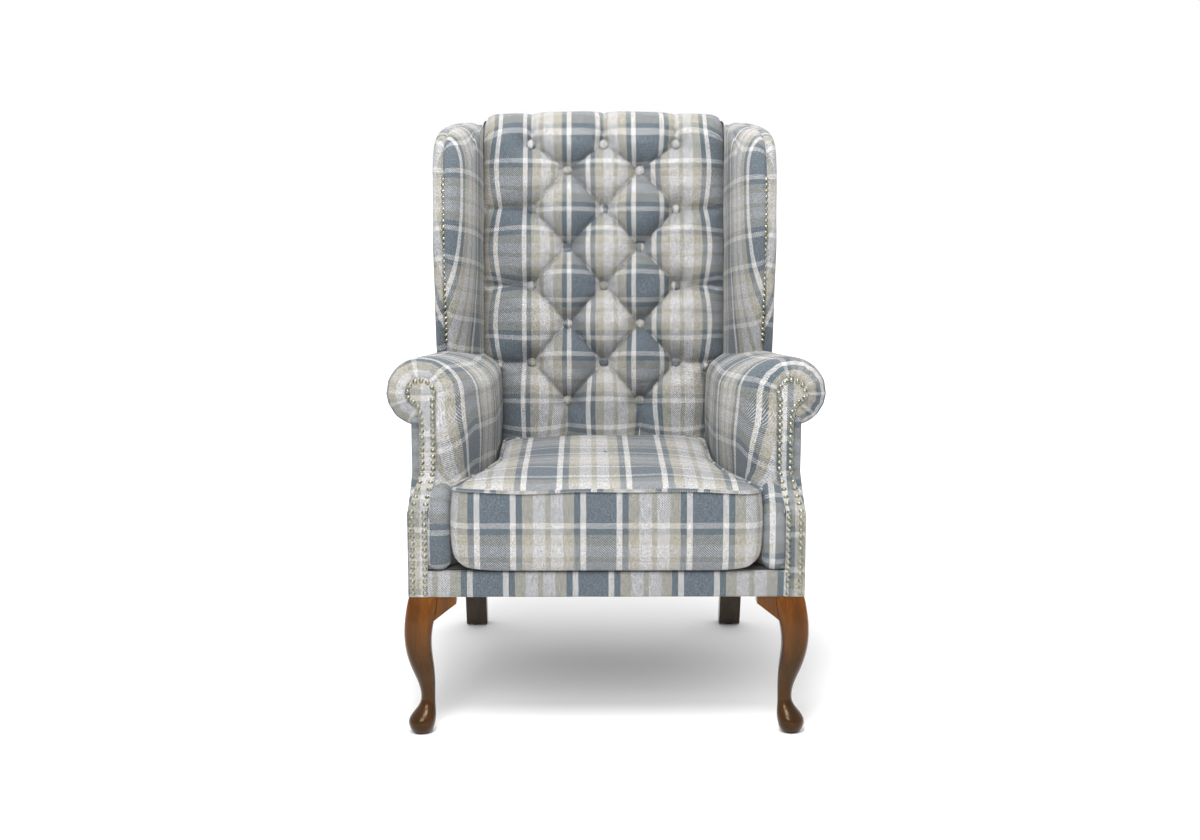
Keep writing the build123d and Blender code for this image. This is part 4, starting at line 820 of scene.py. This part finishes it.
def make_wing(side, outside, warp, weft):
    """A wing's inside or outside cover, from the seam over the edge and across to the back. The cloth's
    grain leans with the back, and slate bands cross at the places (y, z) of warp and weft."""
    line = curve(WING_OUTLINE, 110)
    y, z = line[:, :1], line[:, 1:2]
    edge = line[:, None, :2]
    inward = quarter_turn(unit(np.gradient(line[:, :2], lengths(line[:, :2]), axis=0)))[:, None]
    section = curve(WING_EDGE if outside else WING_ROLL, 30)
    top_rear = part(y, 0.20, 0.40) * (z > WING_TOP_Z)
    thin = 1 - 0.80 * part(y, 0.03, 0.18) * (z > WING_TOP_Z)
    over = edge + inward * section[:, :1] * thin[:, :, None]
    layer_n, turned_down = (-POST_T - 0.004, 0.028) if outside else (0.080, 0.0)
    end_y = between(lean_y(line[:, 2:], layer_n), y, top_rear)
    end = layered(end_y, line[:, 2:] - turned_down * top_rear)
    share = np.linspace(0, 1, 31)[1:]
    flat = over[:, -1:] + (end - over[:, -1:]) * share[:, None]
    narrower = np.clip(outer_x(0.0) - outer_x(y), 0, None) * (z > 0.9)
    over_x = section[:, 1] - narrower * part(section[:, 1], HALF_HIGH, WING_SEAM)
    end_x = outer_x(end_y) if outside else HALF_HIGH
    eased = share + 0.35 * np.sin(math.pi * share) * (1 - share)
    flat_x = over_x[:, -1:] + (end_x - over_x[:, -1:]) * eased
    points = np.concatenate([layered(over_x, over[..., 0], over[..., 1]),
                             layered(flat_x, flat[..., 0], flat[..., 1])], 1)
    points[:, 4:, 0] += 0.0010 * wobble(points[:, 4:], 0.10, 11)
    run = lengths(section)
    cloth_in = (section[-1, 0] - (run[-1] - run))[:, None]
    cloth = np.concatenate([edge + inward * cloth_in, flat], 1)
    back, up = cloth[..., 0] - warp[0], cloth[..., 1] - warp[1]
    u = back * math.cos(RAKE) - up * math.sin(RAKE)
    back, up = cloth[..., 0] - weft[0], cloth[..., 1] - weft[1]
    v = (up * math.cos(RAKE) + back * math.sin(RAKE)) * WING_EASE
    return add_sided("wing_outside" if outside else "wing_inside", side, points, u, v, flip=outside)


def make_wing_end(side):
    """The cloth folded over a back post's top, between the wing, the roll and the outside back."""
    across, back = np.meshgrid(np.linspace(-1, 1, 30), np.linspace(-1, 1, 30))
    rise = np.sqrt(1 - (np.abs(across) ** 7 + np.abs(back) ** 9).clip(0, 1))
    points = POST_CAP + POST_CAP_SIZE * layered(across, back, rise)
    u, v = points[..., 0] - 0.06, points[..., 1] + points[..., 2]
    points[..., 2] += 0.0008 * wobble(points, 0.03, 61)
    return add_sided("wing_end", side, points, u, v)


for side, hand in SIDES:
    weft_place = (-0.013, 0.8615 if side < 0 else 0.848)
    settle(make_wing(side, False, (-0.020, 0.98), weft_place), [f"wing_pad_{hand}"])
    settle(make_wing(side, True, (0.060, 0.80), weft_place), [f"wing_outer_cover_{hand}"],
           held="stretched")
for side, _ in SIDES:
    settle(make_wing_end(side), [])

# ---------------- outside covers
COVER_WAVE = 0.0012  # unevenness of a stretched cover
BACK_COVER_TOP = 0.824


def make_side_panel(side):
    """The outside arm: a stretched panel from under the roll to the underside of the rail."""
    z = np.linspace(LEG_TOP - 0.0015, 0.575, 60)[:, None]
    front = np.where(z < KINK_Z, FRONT_Y + 0.0075, arm_front_y(z) + 0.0085)
    rear = np.maximum(lean_y(z, -POST_T), REAR_Y - 0.004)
    across = np.linspace(0, 1, 70)
    y = between(front + 0.006, rear, across)
    rise = rounded(np.minimum(np.minimum(0.6 + across * 12, (1 - across) * 12), (z - z[0]) * 60))
    points = layered(outer_x(y) - 0.0035 * (1 - rise), y, z)
    points[..., 0] += COVER_WAVE * wobble(points, 0.22, 17) * rise
    seam_x = facing_outline(z)[1] - 0.003
    turn = np.linspace(0, 1, 9)[:-1] * math.pi / 2
    returned = layered(between(seam_x, points[:, :1, 0], np.sin(turn)),
                       between(front, points[:, :1, 1], 1 - np.cos(turn)), z)
    points = np.concatenate([returned, points], 1)
    run = np.array([lengths(row) for row in points])
    return add_sided("arm_outside", side, points, run + front + 0.31, z - 0.60, flip=True)


def make_outside_back():
    """The outside back: one stretched panel from the top rail to the seat rail."""
    t = np.linspace(-0.002, BACK_COVER_TOP, 90)[:, None]
    across = np.linspace(-1, 1, 80)
    x = np.interp(t, (0.0, BACK_COVER_TOP), (HALF_FRONT - 0.0405, 0.3075)) * across
    rise = rounded(np.minimum(0.35 + (1 - np.abs(across)) * 9, (BACK_COVER_TOP - t) * 50 + 0.6))
    points = on_back(x, t, -POST_T - 0.0002 - 0.0038 * rise)
    points[..., 1] += COVER_WAVE * wobble(points, 0.25, 23) * rise
    return add_grids("outside_back", [(points, layered(x, t))], check)


def make_border():
    """The strip across the front, under the cushion, with its lower edge turned under the rail."""
    x = np.linspace(-FOOT_IN - 0.0005, FOOT_IN + 0.0005, 120)
    profile = curve([(FRONT_Y + 0.030, BORDER_TOP + 0.0005), (FRONT_Y + 0.006, BORDER_TOP),
                     (FRONT_Y + 0.0005, BORDER_TOP - 0.005), (FRONT_Y - 0.0005, 0.282),
                     (FRONT_Y + 0.0003, LEG_TOP + 0.004), (FRONT_Y + 0.004, LEG_TOP - 0.0008),
                     (FRONT_Y + 0.030, LEG_TOP - 0.0010)], 34)
    points = layered(x, profile[:, :1], profile[:, 1:])
    points[..., 1] += 0.0005 * wobble(points, 0.12, 29)
    u = x + 0.024
    v = BORDER_TOP - lengths(profile)[:, None] + 0.030 - 0.285 + 0.010 * u
    return add_grids("front_border_cloth", [(points, layered(u, v))], check, flip=True)


for side, hand in SIDES:
    settle(make_side_panel(side), [f"arm_outer_cover_{hand}"], held="stretched")
settle(make_outside_back(), ["outside_back_cover"], held="stretched")
settle(make_border(), ["front_border"], held="stretched")

# ---------------- seat cushion
CUSHION_POINTS = 260
CUSHION_CORNER = 0.034
BOXING = 0.1465  # height of the cushion's sides
# How far in from the cushion's outline its side runs, and the height there
BOXING_SECTION = [(0.016, 0.0), (0.0075, 0.010), (0.0022, 0.030), (0.0, 0.065), (0.0008, 0.105),
                  (0.0042, 0.138), (0.0075, 0.1455)]
# The rings of the top and bottom panels, as shares of the way from the edge to the middle
PANEL_RINGS = np.concatenate([[0.012, 0.03, 0.05, 0.08, 0.12], np.linspace(0.17, 0.985, 26)])


def cushion_corner(x, y, start):
    """A corner of the cushion at the right: a quarter circle that ends in the direction start + 90."""
    centre_x = x - CUSHION_CORNER
    centre_y = y + CUSHION_CORNER if start < 0 else y - CUSHION_CORNER
    return [(centre_x + CUSHION_CORNER * math.cos(angle), centre_y + CUSHION_CORNER * math.sin(angle))
            for angle in np.radians(np.linspace(start, start + 90, 12))]


def cushion_outline():
    """The cushion from above, with rounded corners: points evenly along it, from the front's middle."""
    right = [(x, CUSHION_FRONT_Y) for x in (0.0, 0.06, 0.12, 0.17, 0.205, 0.225)]
    right += cushion_corner(arm_inner_x(CUSHION_FRONT_Y) - 0.0025, CUSHION_FRONT_Y, -90)
    right += [(arm_inner_x(y) - CUSHION_GAP, y)
              for y in (-0.325, -0.274, -0.223, -0.160, -0.100, 0.0, 0.08)]
    right += cushion_corner(arm_inner_x(CUSHION_REAR_Y) - CUSHION_GAP, CUSHION_REAR_Y, 0)
    right += [(x, CUSHION_REAR_Y) for x in (0.145, 0.11, 0.06, 0.0)]
    half = curve(right, CUSHION_POINTS // 2 + 1)
    return np.concatenate([half, half[-2:0:-1] * np.array([-1, 1])])


outline = cushion_outline()
cushion_run = lengths(np.vstack([outline, outline[:1]]))  # from the front's middle, below 0 on the left
cushion_run[CUSHION_POINTS // 2 + 1:] -= cushion_run[-1]
outward = unit(quarter_turn(np.gradient(outline, axis=0)))
welt_wave = 0.0016 * np.sin(outline[:, 0] * 16 + 0.6) - 0.0012 * np.sin(outline[:, 0] * 31)


def make_cushion():
    """The boxed seat cushion: a crowned top panel, a flat bottom panel lifted at its front corners, and
    sides that swell between them.
    """
    corner_lift = 0.012 * part(np.abs(outline[:, 0]), 0.19, 0.28) ** 2 * (outline[:, 1] < -0.3)
    sides, bottom, top = [], [], []
    for inset, height in curve(BOXING_SECTION, 22):
        lift = between(corner_lift, welt_wave, height / BOXING)
        sides.append(np.column_stack([outline - outward * inset, CUSHION_BOTTOM + height + lift]))
    centre = np.array([0.0, (CUSHION_FRONT_Y + CUSHION_REAR_Y) / 2])
    half_depth = (CUSHION_REAR_Y - CUSHION_FRONT_Y) / 2
    bottom_edge, top_edge = (outline - outward * BOXING_SECTION[end][0] for end in (0, -1))
    for share in PANEL_RINGS:
        plan = between(bottom_edge, centre, share)
        bottom.insert(0, np.column_stack([plan, CUSHION_BOTTOM + corner_lift * (1 - share) ** 3]))
        plan = between(top_edge, centre, share)
        half_width = np.interp(plan[:, 1], (-0.40, -0.32, -0.22, -0.10, 0.15),
                               (0.279, 0.269, 0.232, 0.207, 0.207))
        dome = 1 - np.abs(plan[:, 0] / half_width) ** 3
        dome *= 1 - np.abs((plan[:, 1] - centre[1]) / half_depth) ** 3.4
        rise = CUSHION_CROWN * np.clip(dome, 0, 1) ** 0.7 * min(1, share / 0.05)
        seam_dip = 0.0022 * math.exp(-share * 60)
        top.append(np.column_stack([plan, CUSHION_WELT + welt_wave * (1 - share) + rise - seam_dip]))
    points = np.array(bottom + sides + top)
    points[..., 2] += 0.0013 * wobble(points, 0.16, 41) * (points[..., 2] > 0.40)
    faces, row, column = grid_faces(*points.shape[:2], closed=True)
    place = first_again(points)
    panel_uv = layered(place[..., 0] - 0.072, place[..., 1] + 0.2985)
    side_uv = layered(cushion_run + 0.010, place[..., 2] - 0.423)
    first = len(bottom)
    is_side = (row.min(1) >= first - 1) & (row.max(1) < first + len(sides))
    uv = np.where(is_side[:, None, None], side_uv[row, column], panel_uv[row, column])
    return add_mesh("cushion", points, faces, uv, check)


def make_piping():
    """A cloth-covered cord along the cushion's upper seam."""
    path = outline - outward * 0.0045
    angles = round_angles(12)
    out = outward[:, None] * (PIPING_R * np.cos(angles))[:, None]
    up = CUSHION_WELT + welt_wave[:, None] + PIPING_R * np.sin(angles)
    points = np.concatenate([path[:, None] + out, up[..., None]], -1)
    points = np.concatenate([points, points[:1]])
    around = np.linspace(0, 2 * math.pi * PIPING_R, 13)
    uv = layered(cushion_run[:, None] + 0.055, around + 0.01)
    return add_grids("cushion_welt", [(points, uv)], check, closed=True)


settle(make_cushion(), ["seat_cushion"], body="cushion")
settle(make_piping(), ["cushion_piping"], body="cushion")


# ---------------- hidden cloths
def make_deck_sheet(name, z, sag, material):
    """A cloth over the whole seat deck at height z, with a little sag in its middle."""
    (_, front_y, _), (_, rear_y, _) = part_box("platform_cloth")
    front_x, rear_x = arm_inner_x(front_y) + 0.006, arm_inner_x(rear_y) + 0.006
    across, along = np.meshgrid(np.linspace(0, 1, 24), np.linspace(0, 1, 24))
    x = between(between(-front_x, front_x, across), between(-rear_x, rear_x, across), along)
    sunk = sag * np.sin(math.pi * across) * np.sin(math.pi * along)
    points = layered(x, between(front_y, rear_y, along), z - sunk)
    slant = math.hypot(rear_x - front_x, rear_y - front_y)
    return add_grids(name, [(points, layered(across * 2 * front_x, along * slant))], material)


def make_dust_cover():
    """The cloth tacked under the seat, cut round the legs, sagging a little."""
    low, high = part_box("dust_cover")
    y = np.linspace(low.y, high.y, 60)[:, None]
    half = np.minimum(np.interp(y, (-0.300, -0.285), (0.2185, 0.350)), outer_x(y) - 0.012)
    half = np.where(y > 0.237, 0.2505, half)
    across = np.linspace(-1, 1, 60)
    sag = 0.004 * np.cos(across * math.pi / 2) * np.sin(math.pi * part(y, low.y, high.y))
    points = layered(half * across, y, low.z + 0.0006 - sag)
    return add_grids("dust_cover_sheet", [(points, points[..., :2])], lining, flip=True)


def make_webbing():
    """Woven straps behind the back's stuffing: five across, and three up over them."""
    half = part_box("back_webbing")[1].x
    along = np.linspace(0, 1, 40)[:, None]
    width = np.linspace(-0.025, 0.025, 5)
    straps = []
    for t in 0.160 + 0.140 * np.arange(5):
        x, t = between(-half, half, along), t + width
        straps.append((on_back(x, t, 0.0012), layered(t, x)))
    for x in (-0.162, 0.0, 0.162):
        x, t = x + width, between(0.105, 0.812, along)
        straps.append((on_back(x, t, 0.0027), layered(x, t)))
    return add_grids("back_webbing_straps", straps, webbing_cloth)


deck_z, felt_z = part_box("platform_cloth")[1].z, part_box("deck_felt")[1].z
platform = make_deck_sheet("platform_cloth_sheet", deck_z, 0.003, lining)
settle(platform, ["platform_cloth"],
       held="stretched")
deck_felt = make_deck_sheet("deck_felt_sheet", felt_z - 0.0005, 0.002, felt)
settle(deck_felt, ["deck_felt"], held="laid")
settle(make_dust_cover(), ["dust_cover"], held="stretched")
settle(make_webbing(), ["back_webbing"])

# ---------------- floor, light and camera
# The camera is solved from the photograph; yaw is to the right and pitch down, in radians
CAMERA, CAMERA_PITCH, CAMERA_YAW = (-0.0335, -3.595, 1.114), 0.1653, 0.0067
FOCAL_PX, WIDTH_PX, SENSOR_MM = 1850.0, 1200.0, 36.0
FLOOR_HALF = 30


def make_floor():
    """A plain pale floor that fills every view and glows a little away from the chair."""
    material, tree, place = new_material("studio_floor")
    pale = ramp(tree, noise(tree, place, (2, 2, 2), detail=2.0),
                [(0.3, (0.90, 0.90, 0.90, 1)), (0.7, (0.93, 0.93, 0.93, 1))])
    away = node(tree, "VectorMath", {0: place}, operation="LENGTH").outputs["Value"]
    glow = node(tree, "MapRange", {0: away, 1: 0.8, 2: 2.4, 3: 0.0, 4: 0.4},
                interpolation_type="SMOOTHSTEP").outputs[0]
    dress(material, {"Base Color": pale, "Roughness": 0.9, "Specular IOR Level": 0.1,
                     "Emission Color": (1, 1, 1, 1), "Emission Strength": glow})
    mesh = bpy.data.meshes.new("studio_floor")
    corners = [(x * FLOOR_HALF, y * FLOOR_HALF, 0) for x, y in ((-1, -1), (1, -1), (1, 1), (-1, 1))]
    mesh.from_pydata(corners, [], [(0, 1, 2, 3)])
    mesh.materials.append(material)
    add_object("studio_floor", mesh)


def add_light(name, place, target, size, power):
    """A soft square light aimed at a point."""
    data = bpy.data.lights.new(name, "AREA")
    data.shape = "SQUARE"
    data.size = size
    data.energy = power
    light = add_object(name, data)
    light.location = place
    light.rotation_euler = (Vector(target) - Vector(place)).to_track_quat("-Z", "Y").to_euler()


make_floor()
add_light("key_light", (-0.7, -3.2, 2.6), (0, 0, 0.7), 1.4, 62)
add_light("front_light", (-0.1, -1.3, 2.3), (0, 0.1, 0.7), 0.9, 44)
add_light("top_light", (0.0, 0.1, 3.4), (0, 0, 0.5), 1.2, 36)
world = bpy.data.worlds.new("studio")
world.use_nodes = True
background = world.node_tree.nodes["Background"]
background.inputs["Color"].default_value = (1, 1, 1, 1)
background.inputs["Strength"].default_value = 1.0
bpy.context.scene.world = world
bpy.context.scene.view_settings.view_transform = "Standard"

camera_data = bpy.data.cameras.new("camera")
camera_data.sensor_width = SENSOR_MM
camera_data.lens = SENSOR_MM * FOCAL_PX / WIDTH_PX
camera = add_object("camera", camera_data)
camera.location = CAMERA
camera.rotation_euler = (math.pi / 2 - CAMERA_PITCH, 0, -CAMERA_YAW)
bpy.context.scene.camera = camera
